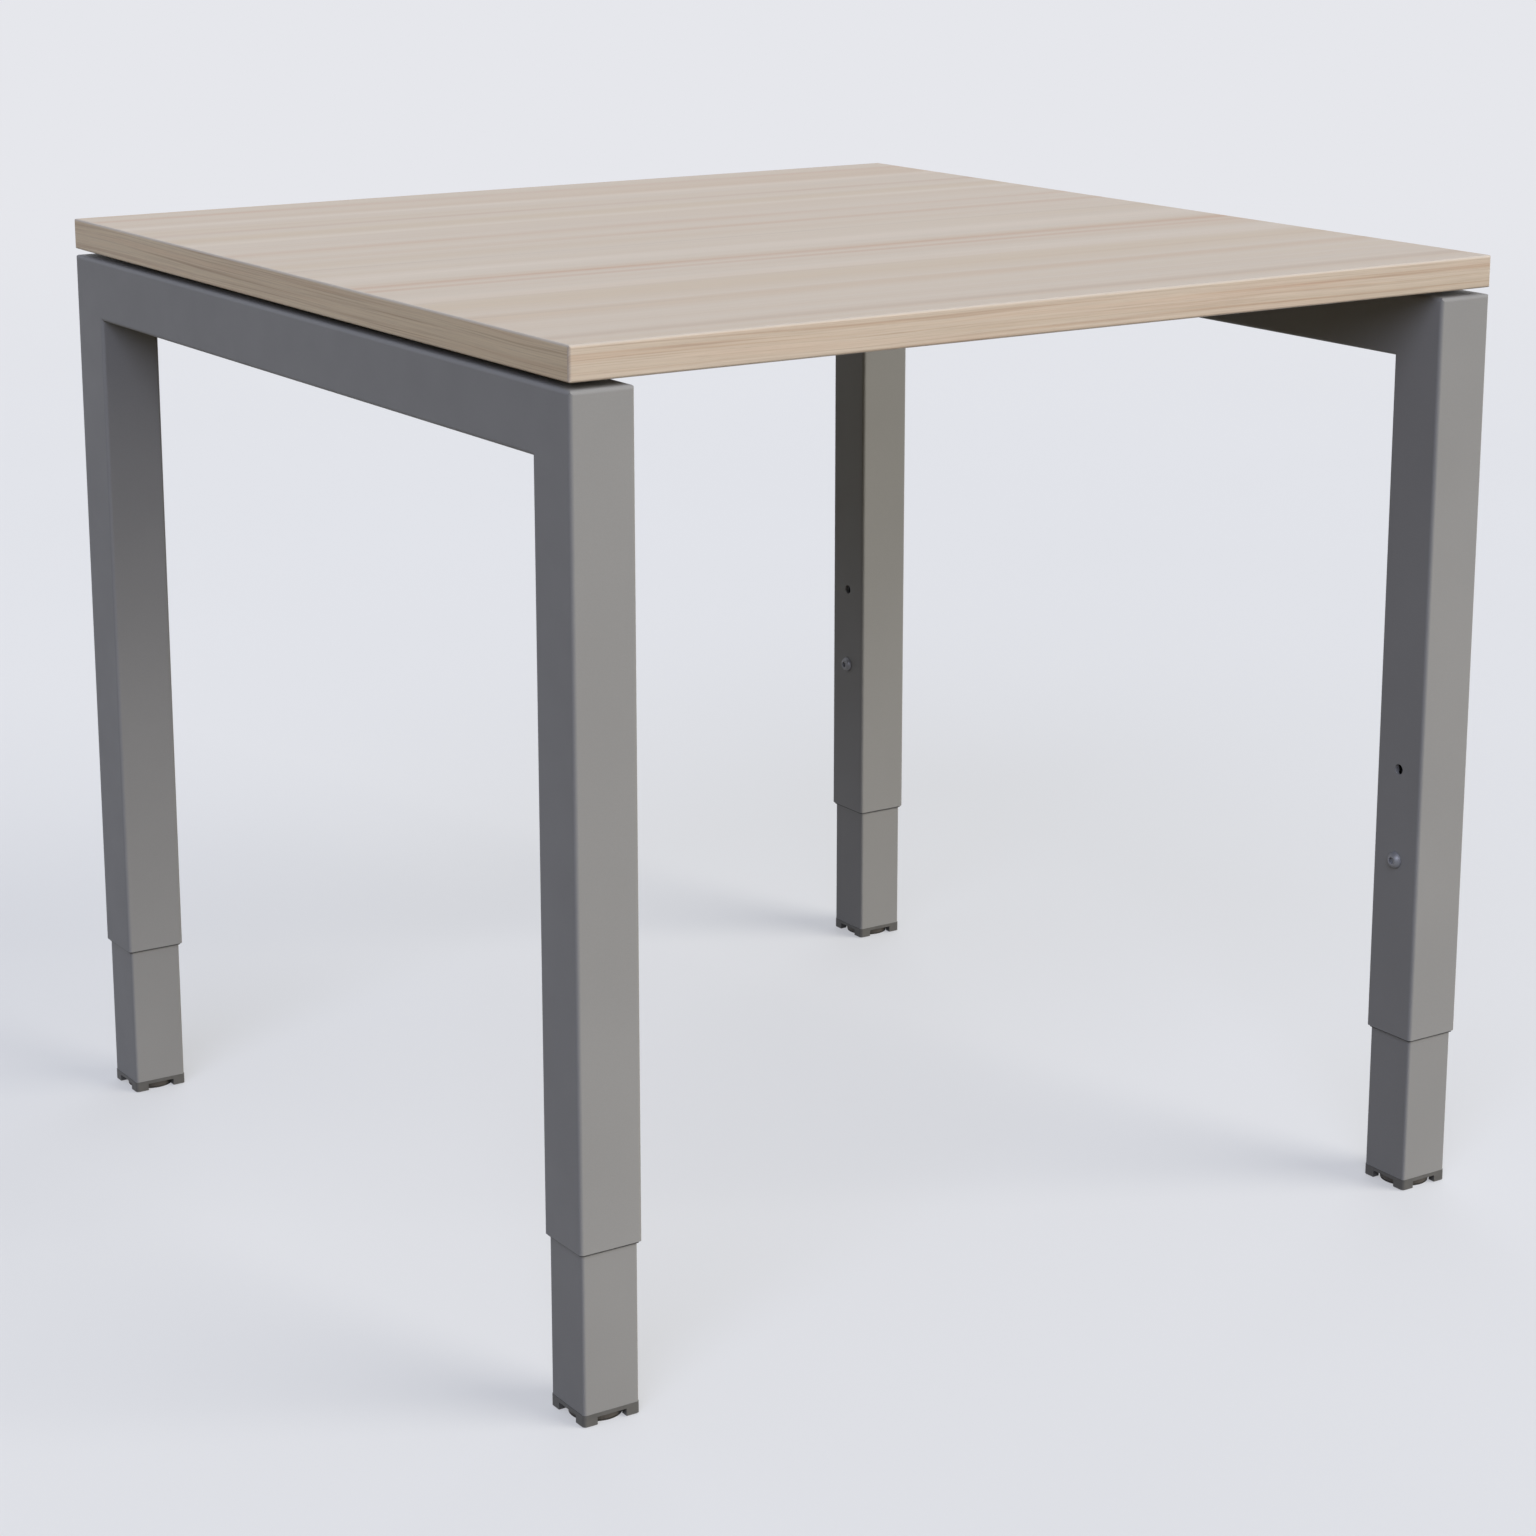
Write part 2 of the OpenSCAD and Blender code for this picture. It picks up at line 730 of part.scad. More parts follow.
at_leg(left, rear) glide_sole();  // rear_left_glide_sole
at_leg(right, rear) glide_sole();  // rear_right_glide_sole
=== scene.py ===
"""Looks of a square desk: a wood print top on two welded side frames with telescopic legs.

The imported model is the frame, and every size here is in metres in that frame. Each class
is one sub-assembly of the desk or one part of the studio. It holds its own sizes, builds
the meshes that it adds and dresses them and the CAD nodes with a finish.
"""
import sys

import logging
import math
from collections.abc import Callable, Iterable, Iterator
from dataclasses import dataclass, field
from enum import Enum

import bpy
from mathutils import Matrix, Vector


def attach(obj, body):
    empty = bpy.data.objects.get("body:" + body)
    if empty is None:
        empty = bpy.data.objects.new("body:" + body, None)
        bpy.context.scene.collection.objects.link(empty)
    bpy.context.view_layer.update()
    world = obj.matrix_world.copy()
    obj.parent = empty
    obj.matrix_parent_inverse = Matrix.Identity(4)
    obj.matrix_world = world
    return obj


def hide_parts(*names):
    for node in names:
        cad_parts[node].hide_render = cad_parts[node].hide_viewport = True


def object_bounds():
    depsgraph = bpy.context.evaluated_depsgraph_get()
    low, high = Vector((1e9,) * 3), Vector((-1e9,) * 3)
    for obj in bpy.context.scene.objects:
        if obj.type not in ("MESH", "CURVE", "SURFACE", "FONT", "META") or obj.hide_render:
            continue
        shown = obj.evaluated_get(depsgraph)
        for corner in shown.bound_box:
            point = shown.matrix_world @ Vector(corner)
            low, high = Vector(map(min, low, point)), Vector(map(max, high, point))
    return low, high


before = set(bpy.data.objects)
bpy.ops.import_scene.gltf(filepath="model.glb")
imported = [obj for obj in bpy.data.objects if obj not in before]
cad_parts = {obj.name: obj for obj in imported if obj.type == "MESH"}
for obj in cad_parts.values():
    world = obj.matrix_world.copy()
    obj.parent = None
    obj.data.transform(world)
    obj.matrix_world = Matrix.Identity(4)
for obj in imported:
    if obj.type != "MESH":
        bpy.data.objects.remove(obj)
CAD_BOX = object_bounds()
TOP_Z = CAD_BOX[1][2]

LOG = logging.getLogger("desk")

Socket = bpy.types.NodeSocket
Piece = bpy.types.Object
Colour = tuple[float, float, float]
Ring = list[Vector]
Span = tuple[float, float]
Stop = tuple[float, Colour]


def linear(red: float, green: float, blue: float) -> Colour:
    """Turns a colour as a screen shows it into the shader's linear values.

    Args:
        red: Red from 0 to 255.
        green: Green from 0 to 255.
        blue: Blue from 0 to 255.

    Returns:
        The three linear values from 0 to 1.
    """
    def one(value: float) -> float:
        """Turns one channel from 0 to 255 into its linear value."""
        share = value / 255
        return share / 12.92 if share <= 0.04045 else ((share + 0.055) / 1.055) ** 2.4

    return one(red), one(green), one(blue)


def toned(colour: Colour, share: float) -> Colour:
    """Makes a colour darker or paler by a share of its light."""
    red, green, blue = colour
    return share * red, share * green, share * blue


# The desk's own choices


class Leg(Enum):
    """One of the four legs, by its name in the model and its side and end as signs."""

    FRONT_LEFT = ("front_left", -1, -1)
    FRONT_RIGHT = ("front_right", 1, -1)
    REAR_LEFT = ("rear_left", -1, 1)
    REAR_RIGHT = ("rear_right", 1, 1)

    @property
    def label(self) -> str:
        """The leg's name in the names of nodes and bodies."""
        return self.value[0]

    @property
    def side(self) -> int:
        """-1 on the left side frame and 1 on the right one."""
        return self.value[1]

    @property
    def end(self) -> int:
        """-1 at the front and 1 at the rear."""
        return self.value[2]


class GrainRun(Enum):
    """The direction in which a wood print's grain runs, as (along, across) axes."""

    PANEL = ("X", "Y")
    LONG_EDGE = ("X", "Z")
    SIDE_EDGE = ("Y", "Z")


FRAME_BODY = "frame_and_top"

# Steps through the noise that keep the patterns of the print's layers apart.
LAYER_STEP = 7.3
LINE_SEED = 41.0


# Nodes of the materials and of the sky


class NodeSheet:
    """The nodes of one material or sky, with short calls for what the finishes share."""

    def __init__(self, owner: bpy.types.Material | bpy.types.World,
                 place: str = "Object") -> None:
        """Starts an empty sheet.

        Args:
            owner: The new material or sky that the nodes belong to.
            place: The coordinates that its patterns are read at.
        """
        self.owner = owner
        owner.use_nodes = True
        self.tree = owner.node_tree
        self.tree.nodes.clear()
        self.place = self.add("ShaderNodeTexCoord").outputs[place]

    def add(self, kind: str, inputs: dict | None = None, **settings: object) -> bpy.types.Node:
        """Adds a node and fills its inputs.

        Args:
            kind: Blender's name of the node type.
            inputs: Values or sockets, by the input's name or number.
            **settings: The node's own properties.

        Returns:
            The new node.
        """
        node = self.tree.nodes.new(kind)
        for key, value in settings.items():
            setattr(node, key, value)
        for key, value in (inputs or {}).items():
            if isinstance(value, Socket):
                self.tree.links.new(value, node.inputs[key])
            else:
                node.inputs[key].default_value = value
        return node

    def sum(self, kind: str, *terms: object) -> Socket:
        """Joins numbers or sockets by one sum.

        Args:
            kind: Blender's name of the operation.
            *terms: The numbers or sockets, in order.

        Returns:
            The result's socket.
        """
        return self.add("ShaderNodeMath", dict(enumerate(terms)), operation=kind).outputs[0]

    def vector(self, x: object, y: object, z: object) -> Socket:
        """Joins three numbers or sockets to a vector socket."""
        return self.add("ShaderNodeCombineXYZ", {"X": x, "Y": y, "Z": z}).outputs[0]

    def axes(self) -> dict[str, Socket]:
        """Splits the place on the object into its X, Y and Z sockets."""
        return dict(self.add("ShaderNodeSeparateXYZ", {0: self.place}).outputs.items())

    def cloud(self, size: float, detail: float = 2.0, rough: float = 0.5,
              where: Socket | None = None, seed: float = 0.0) -> Socket:
        """Adds a soft random pattern.

        Args:
            size: Size of its spots in metres, or in units of the given vector.
            detail: How many finer layers it has.
            rough: How strong the finer layers are.
            where: The vector it is read at, the object's place by default.
            seed: Shift that makes the pattern another one.

        Returns:
            A socket from 0 to 1, about 0.5 in the mean.
        """
        source = self.place if where is None else where
        if seed:
            source = self.add("ShaderNodeVectorMath", {0: source, 1: (seed, seed * 0.7, -seed)},
                              operation="ADD").outputs[0]
        node = self.add("ShaderNodeTexNoise", {"Vector": source, "Scale": 1 / size,
                                               "Detail": detail, "Roughness": rough})
        return node.outputs[0]

    def spread(self, value: Socket, low: float, high: float,
               start: float = 0.0, end: float = 1.0, smooth: bool = False) -> Socket:
        """Maps a range of a socket onto another range, held at its ends.

        Args:
            value: The socket.
            low: The value that becomes start.
            high: The value that becomes end.
            start: Result at low.
            end: Result at high.
            smooth: True for a soft start and end.

        Returns:
            The mapped socket.
        """
        kind = "SMOOTHSTEP" if smooth else "LINEAR"
        return self.add("ShaderNodeMapRange", {"Value": value, "From Min": low, "From Max": high,
                                               "To Min": start, "To Max": end},
                        interpolation_type=kind).outputs[0]

    def ramp(self, value: Socket, stops: Iterable[Stop]) -> Socket:
        """Turns a value into a colour that runs through the given stops.

        Args:
            value: The socket from 0 to 1.
            stops: Places and their colours.

        Returns:
            The colour's socket.
        """
        node = self.add("ShaderNodeValToRGB", {0: value})
        band = node.color_ramp
        for number, (at, colour) in enumerate(stops):
            stop = band.elements[number] if number < 2 else band.elements.new(at)
            stop.position = at
            stop.color = (*colour, 1.0)
        return node.outputs[0]

    def blend(self, share: object, under: object, over: object, kind: str = "MIX") -> Socket:
        """Lays one colour over another.

        Args:
            share: How much of the upper colour shows, a number or a socket.
            under: The lower colour.
            over: The upper colour.
            kind: Blender's name of the blend.

        Returns:
            The colour's socket.
        """
        node = self.add("ShaderNodeMix", data_type="RGBA", blend_type=kind)
        for number, value in ((0, share), (6, under), (7, over)):
            if isinstance(value, Socket):
                self.tree.links.new(value, node.inputs[number])
            else:
                node.inputs[number].default_value = value if number == 0 else (*value, 1.0)
        return node.outputs[2]

    def bump(self, height: Socket, depth: float, strength: float = 1.0,
             under: Socket | None = None) -> Socket:
        """Turns a height into a bumped normal.

        Args:
            height: The height's socket, from 0 to 1.
            depth: Height in metres between 0 and 1.
            strength: How much of the bump shows.
            under: A normal that the bump goes on.

        Returns:
            The normal's socket.
        """
        inputs = {"Height": height, "Distance": depth, "Strength": strength}
        if under is not None:
            inputs["Normal"] = under
        return self.add("ShaderNodeBump", inputs).outputs[0]

    def skin(self, **inputs: object) -> bpy.types.Material:
        """Ends the sheet with the surface shader.

        Args:
            **inputs: Values or sockets of the shader, with _ for a space in a name.

        Returns:
            The finished material.
        """
        named = {key.replace("_", " "): value for key, value in inputs.items()}
        shader = self.add("ShaderNodeBsdfPrincipled", named)
        self.add("ShaderNodeOutputMaterial", {"Surface": shader.outputs[0]})
        return self.owner


def material_sheet(name: str) -> NodeSheet:
    """Starts the empty sheet of a new material."""
    return NodeSheet(bpy.data.materials.new(name))


# Finishes


class LineTint(Enum):
    """The colour of the print that a single line is drawn in."""

    HEART = "heart"
    GREY = "grey"
    PALE = "pale"


class GrainLayer(Enum):
    """A layer of the print, as the number that sets it apart and its count of finer layers."""

    BROAD = (1.0, 1.0)
    LONG_STREAK = (2.0, 4.0)
    THIN_STREAK = (3.0, 3.0)
    FIBRE = (4.0, 2.0)
    PORES = (5.0, 1.0)
    BLUSH = (6.0, 1.0)


@dataclass(frozen=True)
class GrainLine:
    """A single long line that runs through the print, soft at its sides and ends."""

    across: float
    width: float
    strength: float
    tint: LineTint = LineTint.HEART
    start: float = -0.60
    end: float = 0.60


@dataclass(frozen=True)
class WoodPrint:
    """A pale wood print: broad soft bands, long streaks, fine fibre, pores and single lines, and
    on an edge band a painted highlight along its rounded top edge.

    A _run_share is a layer's length as a share of the long streak's, and a _span is the part
    of its pattern, from 0 to 1, over which it fades in.
    """

    name: str
    slot: str
    run: GrainRun
    light: Colour
    middle: Colour
    warm: Colour
    heart: Colour
    band: float
    streak: float
    streak_share: float
    length: float
    waver: float
    waver_run: float
    grey: Colour = linear(146, 128, 111)
    pale: Colour = linear(213, 203, 190)
    lines: tuple[GrainLine, ...] = ()
    seed: float = 0.0
    fibre: float = 0.0011
    blush: float = 0.0
    crest: float = 0.0
    # A paler, greyer tone painted on a band's rounded top edge as its highlight, with its share
    # and the heights where it fades in.
    crest_tone: Colour = linear(185, 176, 164)
    crest_share: float = 0.9
    crest_drop: Span = (-0.0020, -0.0007)
    roughness: float = 0.40
    roughness_change: Span = (-0.035, 0.045)
    broad_run_share: float = 2.2
    blush_run_share: float = 0.7
    blush_width_share: float = 2.5
    blush_tint: Colour = (1.0, 0.84, 0.78)
    thin_run_share: float = 0.6
    thin_width_share: float = 0.33
    thin_strength_share: float = 0.7
    fibre_run_share: float = 0.12
    pore_length: float = 0.012
    pore_width: float = 0.0005
    broad_span: Span = (0.28, 0.72)
    long_span: Span = (0.48, 0.70)
    thin_span: Span = (0.50, 0.74)
    blush_span: Span = (0.52, 0.68)
    fibre_span: Span = (0.30, 0.70)
    pore_span: Span = (0.60, 0.72)
    fibre_tone: Span = (0.94, 1.05)
    pore_tone: Span = (1.0, 0.93)
    relief: float = 0.00002
    line_fade: float = 0.10
    line_patch: Span = (0.16, 0.012)

    def make(self) -> bpy.types.Material:
        """Builds the print's material.

        Returns:
            The material.
        """
        sheet = material_sheet(self.name)
        along, across = self._grain_axes(sheet)
        broad = self._layer(sheet, along, across, GrainLayer.BROAD,
                            self.length * self.broad_run_share, self.band)
        long_streak = self._layer(sheet, along, across, GrainLayer.LONG_STREAK, self.length,
                                  self.streak)
        thin_streak = self._layer(sheet, along, across, GrainLayer.THIN_STREAK,
                                  self.length * self.thin_run_share,
                                  self.streak * self.thin_width_share)
        fibre = self._layer(sheet, along, across, GrainLayer.FIBRE,
                            self.length * self.fibre_run_share, self.fibre)
        pores = self._layer(sheet, along, across, GrainLayer.PORES, self.pore_length,
                            self.pore_width)

        colour = sheet.ramp(sheet.spread(broad, *self.broad_span),
                            ((0.0, self.middle), (0.45, self.light), (1.0, self.warm)))
        dark = sheet.spread(long_streak, *self.long_span, 0.0, self.streak_share)
        colour = sheet.blend(dark, colour, self.heart)
        thin = sheet.spread(thin_streak, *self.thin_span, 0.0,
                            self.streak_share * self.thin_strength_share)
        colour = sheet.blend(thin, colour, self.heart, "MULTIPLY")
        for line in self.lines:
            colour = self._single_line(sheet, colour, along, across, line)
        if self.blush:
            patch = self._layer(sheet, along, across, GrainLayer.BLUSH,
                                self.length * self.blush_run_share,
                                self.streak * self.blush_width_share)
            patch = sheet.spread(patch, *self.blush_span, 0.0, self.blush)
            colour = sheet.blend(patch, colour, self.blush_tint, "MULTIPLY")
        # Paints a highlight: a paler, greyer tone along the band's rounded top edge.
        if self.crest:
            low, high = self.crest_drop
            painted_highlight = sheet.spread(sheet.axes()["Z"], self.crest + low, self.crest + high,
                                   0.0, self.crest_share, smooth=True)
            colour = sheet.blend(painted_highlight, colour, self.crest_tone)
        fleck = sheet.spread(fibre, *self.fibre_span, *self.fibre_tone)
        pore = sheet.spread(pores, *self.pore_span, *self.pore_tone)
        tone = sheet.sum("MULTIPLY", fleck, pore)
        colour = sheet.blend(1.0, colour, sheet.vector(tone, tone, tone), "MULTIPLY")

        low, high = self.roughness_change
        rough = sheet.spread(fibre, *self.fibre_span, self.roughness + low,
                             self.roughness + high)
        normal = sheet.bump(pores, -self.relief, 0.5)
        normal = sheet.bump(fibre, self.relief, 0.4, normal)
        return sheet.skin(Base_Color=colour, Roughness=rough, Normal=normal,
                          Specular_IOR_Level=0.5, Coat_Weight=0.08, Coat_Roughness=0.35)

    def _grain_axes(self, sheet: NodeSheet) -> tuple[Socket, Socket]:
        """Gives the grain's two coordinates, with the slow waver of real grain.

        Args:
            sheet: The material's nodes.

        Returns:
            The sockets of the place along the grain and across it, in metres.
        """
        axes = sheet.axes()
        along = axes[self.run.value[0]]
        across = axes[self.run.value[1]]
        if self.run is not GrainRun.PANEL:
            depth = axes["Y" if self.run is GrainRun.LONG_EDGE else "X"]
            across = sheet.sum("ADD", across, depth)
        slow = sheet.vector(sheet.sum("DIVIDE", along, self.waver_run),
                            sheet.sum("DIVIDE", across, self.waver_run / 2), self.seed)
        waver = sheet.cloud(1.0, 1.0, 0.4, slow)
        offset = sheet.sum("MULTIPLY", sheet.sum("SUBTRACT", waver, 0.5), self.waver)
        return along, sheet.sum("ADD", across, offset)

    def _layer(self, sheet: NodeSheet, along: Socket, across: Socket, layer: GrainLayer,
               length: float, width: float) -> Socket:
        """Adds one layer of soft lines that run along the grain.

        Args:
            sheet: The material's nodes.
            along: Place along the grain.
            across: Place across the grain.
            layer: Which layer it is.
            length: Length of a line in metres.
            width: Width of a line in metres.

        Returns:
            A socket from 0 to 1.
        """
        number, detail = layer.value
        where = sheet.vector(sheet.sum("DIVIDE", along, length),
                             sheet.sum("DIVIDE", across, width),
                             self.seed + number * LAYER_STEP)
        return sheet.cloud(1.0, detail, 0.55, where)

    def _single_line(self, sheet: NodeSheet, colour: Socket, along: Socket, across: Socket,
                     line: GrainLine) -> Socket:
        """Lays one line over the colour, soft at its sides and ends.

        Args:
            sheet: The material's nodes.
            colour: The colour below it.
            along: Place along the grain.
            across: Place across the grain.
            line: The line's place and strength.

        Returns:
            The colour's socket.
        """
        off = sheet.sum("ABSOLUTE", sheet.sum("SUBTRACT", across, line.across))
        core = sheet.spread(off, 0.0, line.width, 1.0, 0.0, smooth=True)
        fade = self.line_fade
        begins = sheet.spread(along, line.start - fade, line.start + fade, smooth=True)
        ends = sheet.spread(along, line.end - fade, line.end + fade, 1.0, 0.0, smooth=True)
        length, width = self.line_patch
        where = sheet.vector(sheet.sum("DIVIDE", along, length),
                             sheet.sum("DIVIDE", across, width),
                             self.seed + LINE_SEED + line.across)
        patchy = sheet.spread(sheet.cloud(1.0, 3.0, 0.6, where), 0.25, 0.75, 0.35, 1.0)
        share = core
        for factor in (begins, ends, patchy, line.strength):
            share = sheet.sum("MULTIPLY", share, factor)
        return sheet.blend(share, colour, getattr(self, line.tint.value))


@dataclass(frozen=True)
class PowderCoat:
    """Baked powder paint: matt, finely pebbled, with slow differences of tone and gloss."""

    name: str
    slot: str
    colour: Colour
    roughness: float = 0.50
    roughness_change: float = 0.06
    pebble: float = 0.0012
    relief: float = 0.00004
    patch: float = 0.11
    speck: float = 0.0007
    rubbed: float = 0.028
    tone: Span = (0.965, 1.035)
    sheen: float = 0.15
    metal: float = 0.0

    def make(self) -> bpy.types.Material:
        """Builds the paint's material.

        Returns:
            The material.
        """
        sheet = material_sheet(self.name)
        slow = sheet.cloud(self.patch, 2.0, 0.5)
        speck = sheet.cloud(self.speck, 2.0, 0.6, seed=3.1)
        pebble = sheet.cloud(self.pebble, 2.0, 0.45, seed=8.4)
        half_speck = sheet.sum("MULTIPLY", speck, 0.5)
        tone = sheet.sum("ADD", sheet.sum("MULTIPLY", slow, 0.5), half_speck)
        dark, pale = (toned(self.colour, share) for share in self.tone)
        colour = sheet.ramp(tone, ((0.36, dark), (0.64, pale)))
        rubbed = sheet.cloud(self.rubbed, 3.0, 0.6, seed=5.7)
        change = self.roughness_change
        rough = sheet.spread(sheet.sum("ADD", rubbed, half_speck), 0.45, 1.05,
                             self.roughness - change, self.roughness + change)
        normal = sheet.bump(pebble, self.relief, 0.55)
        return sheet.skin(Base_Color=colour, Roughness=rough, Normal=normal,
                          Specular_IOR_Level=self.sheen, Metallic=self.metal)


@dataclass(frozen=True)
class MouldedPlastic:
    """Moulded plastic with the fine spark grain of its tool and a few rubbed spots."""

    name: str
    slot: str
    colour: Colour
    roughness: float = 0.48
    roughness_change: float = 0.07
    grain: float = 0.0005
    flow: float = 0.012
    relief: float = 0.00003
    tone: Span = (0.86, 1.16)

    def make(self) -> bpy.types.Material:
        """Builds the plastic's material.

        Returns:
            The material.
        """
        sheet = material_sheet(self.name)
        grain = sheet.cloud(self.grain, 3.0, 0.6)
        flow = sheet.cloud(self.flow, 2.0, 0.5, seed=2.3)
        tone = sheet.sum("ADD", sheet.sum("MULTIPLY", flow, 0.6),
                         sheet.sum("MULTIPLY", grain, 0.4))
        dark, pale = (toned(self.colour, share) for share in self.tone)
        colour = sheet.ramp(tone, ((0.34, dark), (0.66, pale)))
        change = self.roughness_change
        rough = sheet.spread(flow, 0.3, 0.7, self.roughness - change, self.roughness + change)
        return sheet.skin(Base_Color=colour, Roughness=rough,
                          Normal=sheet.bump(grain, self.relief, 0.6), Specular_IOR_Level=0.45)


@dataclass(frozen=True)
class ZincPlate:
    """Zinc plated steel: a cloudy grey metal with a faint blue and straw cast."""

    name: str
    slot: str
    colour: Colour
    roughness: float = 0.34
    roughness_change: Span = (-0.06, 0.10)
    cast: float = 0.006
    drawn: float = 0.0009
    blue_cast: Colour = (0.90, 0.95, 1.04)
    straw_cast: Colour = (1.03, 0.98, 0.86)
    relief: float = 0.00001

    def make(self) -> bpy.types.Material:
        """Builds the plating's material.

        Returns:
            The material.
        """
        sheet = material_sheet(self.name)
        cast = sheet.cloud(self.cast, 2.0, 0.5)
        drawn = sheet.cloud(self.drawn, 3.0, 0.6, seed=6.2)
        cool, straw = (tuple(share * c for share, c in zip(tint, self.colour))
                       for tint in (self.blue_cast, self.straw_cast))
        colour = sheet.ramp(cast, ((0.30, cool), (0.50, self.colour), (0.70, straw)))
        low, high = self.roughness_change
        rough = sheet.spread(drawn, 0.3, 0.7, self.roughness + low, self.roughness + high)
        return sheet.skin(Base_Color=colour, Metallic=0.9, Roughness=rough,
                          Normal=sheet.bump(drawn, self.relief, 0.5))


@dataclass(frozen=True)
class SoleRubber:
    """Dense matt rubber with a fine open skin and a little dust."""

    name: str
    slot: str
    colour: Colour
    grain: float = 0.0008
    dust: float = 0.007
    relief: float = 0.00006

    def make(self) -> bpy.types.Material:
        """Builds the rubber's material.

        Returns:
            The material.
        """
        sheet = material_sheet(self.name)
        skin = sheet.cloud(self.grain, 3.0, 0.65)
        dust = sheet.spread(sheet.cloud(self.dust, 3.0, 0.6, seed=4.4), 0.45, 0.80, 0.0, 0.35)
        dusty = tuple(0.05 + 2.0 * c for c in self.colour)
        colour = sheet.blend(dust, self.colour, dusty)
        rough = sheet.spread(skin, 0.3, 0.7, 0.80, 0.95)
        return sheet.skin(Base_Color=colour, Roughness=rough,
                          Normal=sheet.bump(skin, self.relief, 0.7), Specular_IOR_Level=0.3)


Finish = WoodPrint | PowderCoat | MouldedPlastic | ZincPlate | SoleRubber


@dataclass
class FinishBook:
    """All finishes of the desk, each made into a material once."""

    panel: Finish = WoodPrint(
        "wood_print_panel", "wood_laminate", GrainRun.PANEL,
        light=linear(184, 171, 154), middle=linear(180, 163, 140), warm=linear(178, 158, 134),
        heart=linear(169, 132, 101), band=0.050, streak=0.0125, streak_share=0.13, length=1.1,
        waver=0.010, waver_run=0.42,
        lines=(
            GrainLine(-0.101, 0.011, 0.80),
            GrainLine(-0.0990, 0.0030, 0.95),
            GrainLine(-0.121, 0.009, 0.75),
            GrainLine(0.371, 0.011, 0.66),
            GrainLine(0.254, 0.010, 0.24, LineTint.GREY),
            GrainLine(0.256, 0.012, 0.44),
            GrainLine(0.115, 0.009, 0.42),
            GrainLine(0.117, 0.012, 0.50, start=-0.33, end=-0.22),
            GrainLine(0.121, 0.016, 0.36, start=-0.12, end=0.10),
            GrainLine(0.067, 0.011, 0.55, start=-0.10),
            GrainLine(0.006, 0.0035, 0.42, LineTint.GREY),
            GrainLine(-0.194, 0.0035, 0.32, LineTint.GREY, end=0.05),
            GrainLine(-0.274, 0.012, 0.16, start=0.02),
            GrainLine(-0.272, 0.0050, 0.34, LineTint.GREY, end=-0.20),
            GrainLine(-0.377, 0.011, 0.38, LineTint.GREY),
            GrainLine(0.312, 0.016, 0.31, LineTint.PALE),
            GrainLine(0.190, 0.016, 0.22, LineTint.PALE),
            GrainLine(-0.050, 0.022, 0.29, LineTint.PALE),
            GrainLine(-0.177, 0.026, 0.22, LineTint.PALE),
        ))
    long_edge: Finish = WoodPrint(
        "wood_print_long_edge", "edge_band", GrainRun.LONG_EDGE,
        light=linear(187, 174, 158), middle=linear(179, 165, 147), warm=linear(186, 170, 152),
        heart=linear(156, 122, 94), band=0.0085, streak=0.0030, streak_share=0.42, length=0.34,
        waver=0.005, waver_run=0.26, seed=11.0, fibre=0.0007, blush=0.22, crest=TOP_Z)
    # The side bands are the same material as the long bands. Their paler, yellower print is
    # painted light for how the light falls on the side bands.
    side_edge: Finish = WoodPrint(
        "wood_print_side_band_painted_light", "edge_band", GrainRun.SIDE_EDGE,
        light=linear(206, 187, 155), middle=linear(195, 175, 143), warm=linear(203, 181, 149),
        heart=linear(150, 113, 78), band=0.0080, streak=0.0027, streak_share=0.58, length=0.30,
        waver=0.005, waver_run=0.24, seed=23.0, fibre=0.0007, blush=0.22, crest=TOP_Z)
    frame_paint: Finish = PowderCoat("powder_coat_frame", "frame_paint", linear(136, 136, 135))
    inner_paint: Finish = PowderCoat("powder_coat_inner_leg", "inner_leg_paint",
                                     linear(134, 134, 133), roughness=0.47)
    screw_paint: Finish = PowderCoat("lock_screw_coating", "lock_screw_coat",
                                     linear(132, 133, 136), roughness=0.36, pebble=0.0008,
                                     sheen=0.45, metal=0.15)
    foot: Finish = MouldedPlastic("foot_cap_plastic", "foot_plastic", linear(84, 83, 80))
    # The disc is given a darker plastic than the cap: painted shade of the cap's recess that it
    # sits in.
    disc: Finish = MouldedPlastic("levelling_disc_plastic_with_painted_shade", "glide_plastic", linear(74, 69, 63),
                                  roughness=0.42)
    guide: Finish = MouldedPlastic("leg_guide_plastic", "guide_plastic", linear(66, 66, 66),
                                   roughness=0.38)
    spacer: Finish = MouldedPlastic("spacer_plastic_black", "spacer_plastic", linear(52, 52, 52),
                                    roughness=0.45)
    zinc: Finish = ZincPlate("zinc_plating", "zinc_steel", (0.56, 0.57, 0.58))
    rubber: Finish = SoleRubber("sole_rubber_black", "sole_rubber", linear(60, 58, 54))
    made: dict[str, bpy.types.Material] = field(default_factory=dict)

    def dress(self, piece: Piece, finish: Finish) -> Piece:
        """Gives a piece its finish as its only material.

        Args:
            piece: A new piece or a CAD node's object.
            finish: The finish.

        Returns:
            The same piece.
        """
        if finish.name not in self.made:
            self.made[finish.name] = finish.make()
        material = self.made[finish.name]
        if not piece.data.materials:
            piece.data.materials.append(material)
        for spot in piece.material_slots:
            spot.material = material
        return piece

    def dress_node(self, node: str, finish: Finish) -> Piece:
        """Gives a CAD node its finish and returns its object."""
        return self.dress(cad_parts[node], finish)

    def new_piece(self, piece: Piece, finish: Finish, body: str, stands_for: str) -> Piece:
        """Dresses a new piece, puts it on its body and lets it stand for a CAD node.

        Args:
            piece: The piece's object.
            finish: Its finish.
            body: The body it rides on.
            stands_for: The CAD node it replaces, or an empty text.

        Returns:
            The same piece.
        """
        self.dress(piece, finish)
        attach(piece, body)
        if stands_for:
            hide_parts(stands_for)
        return piece


# Meshes


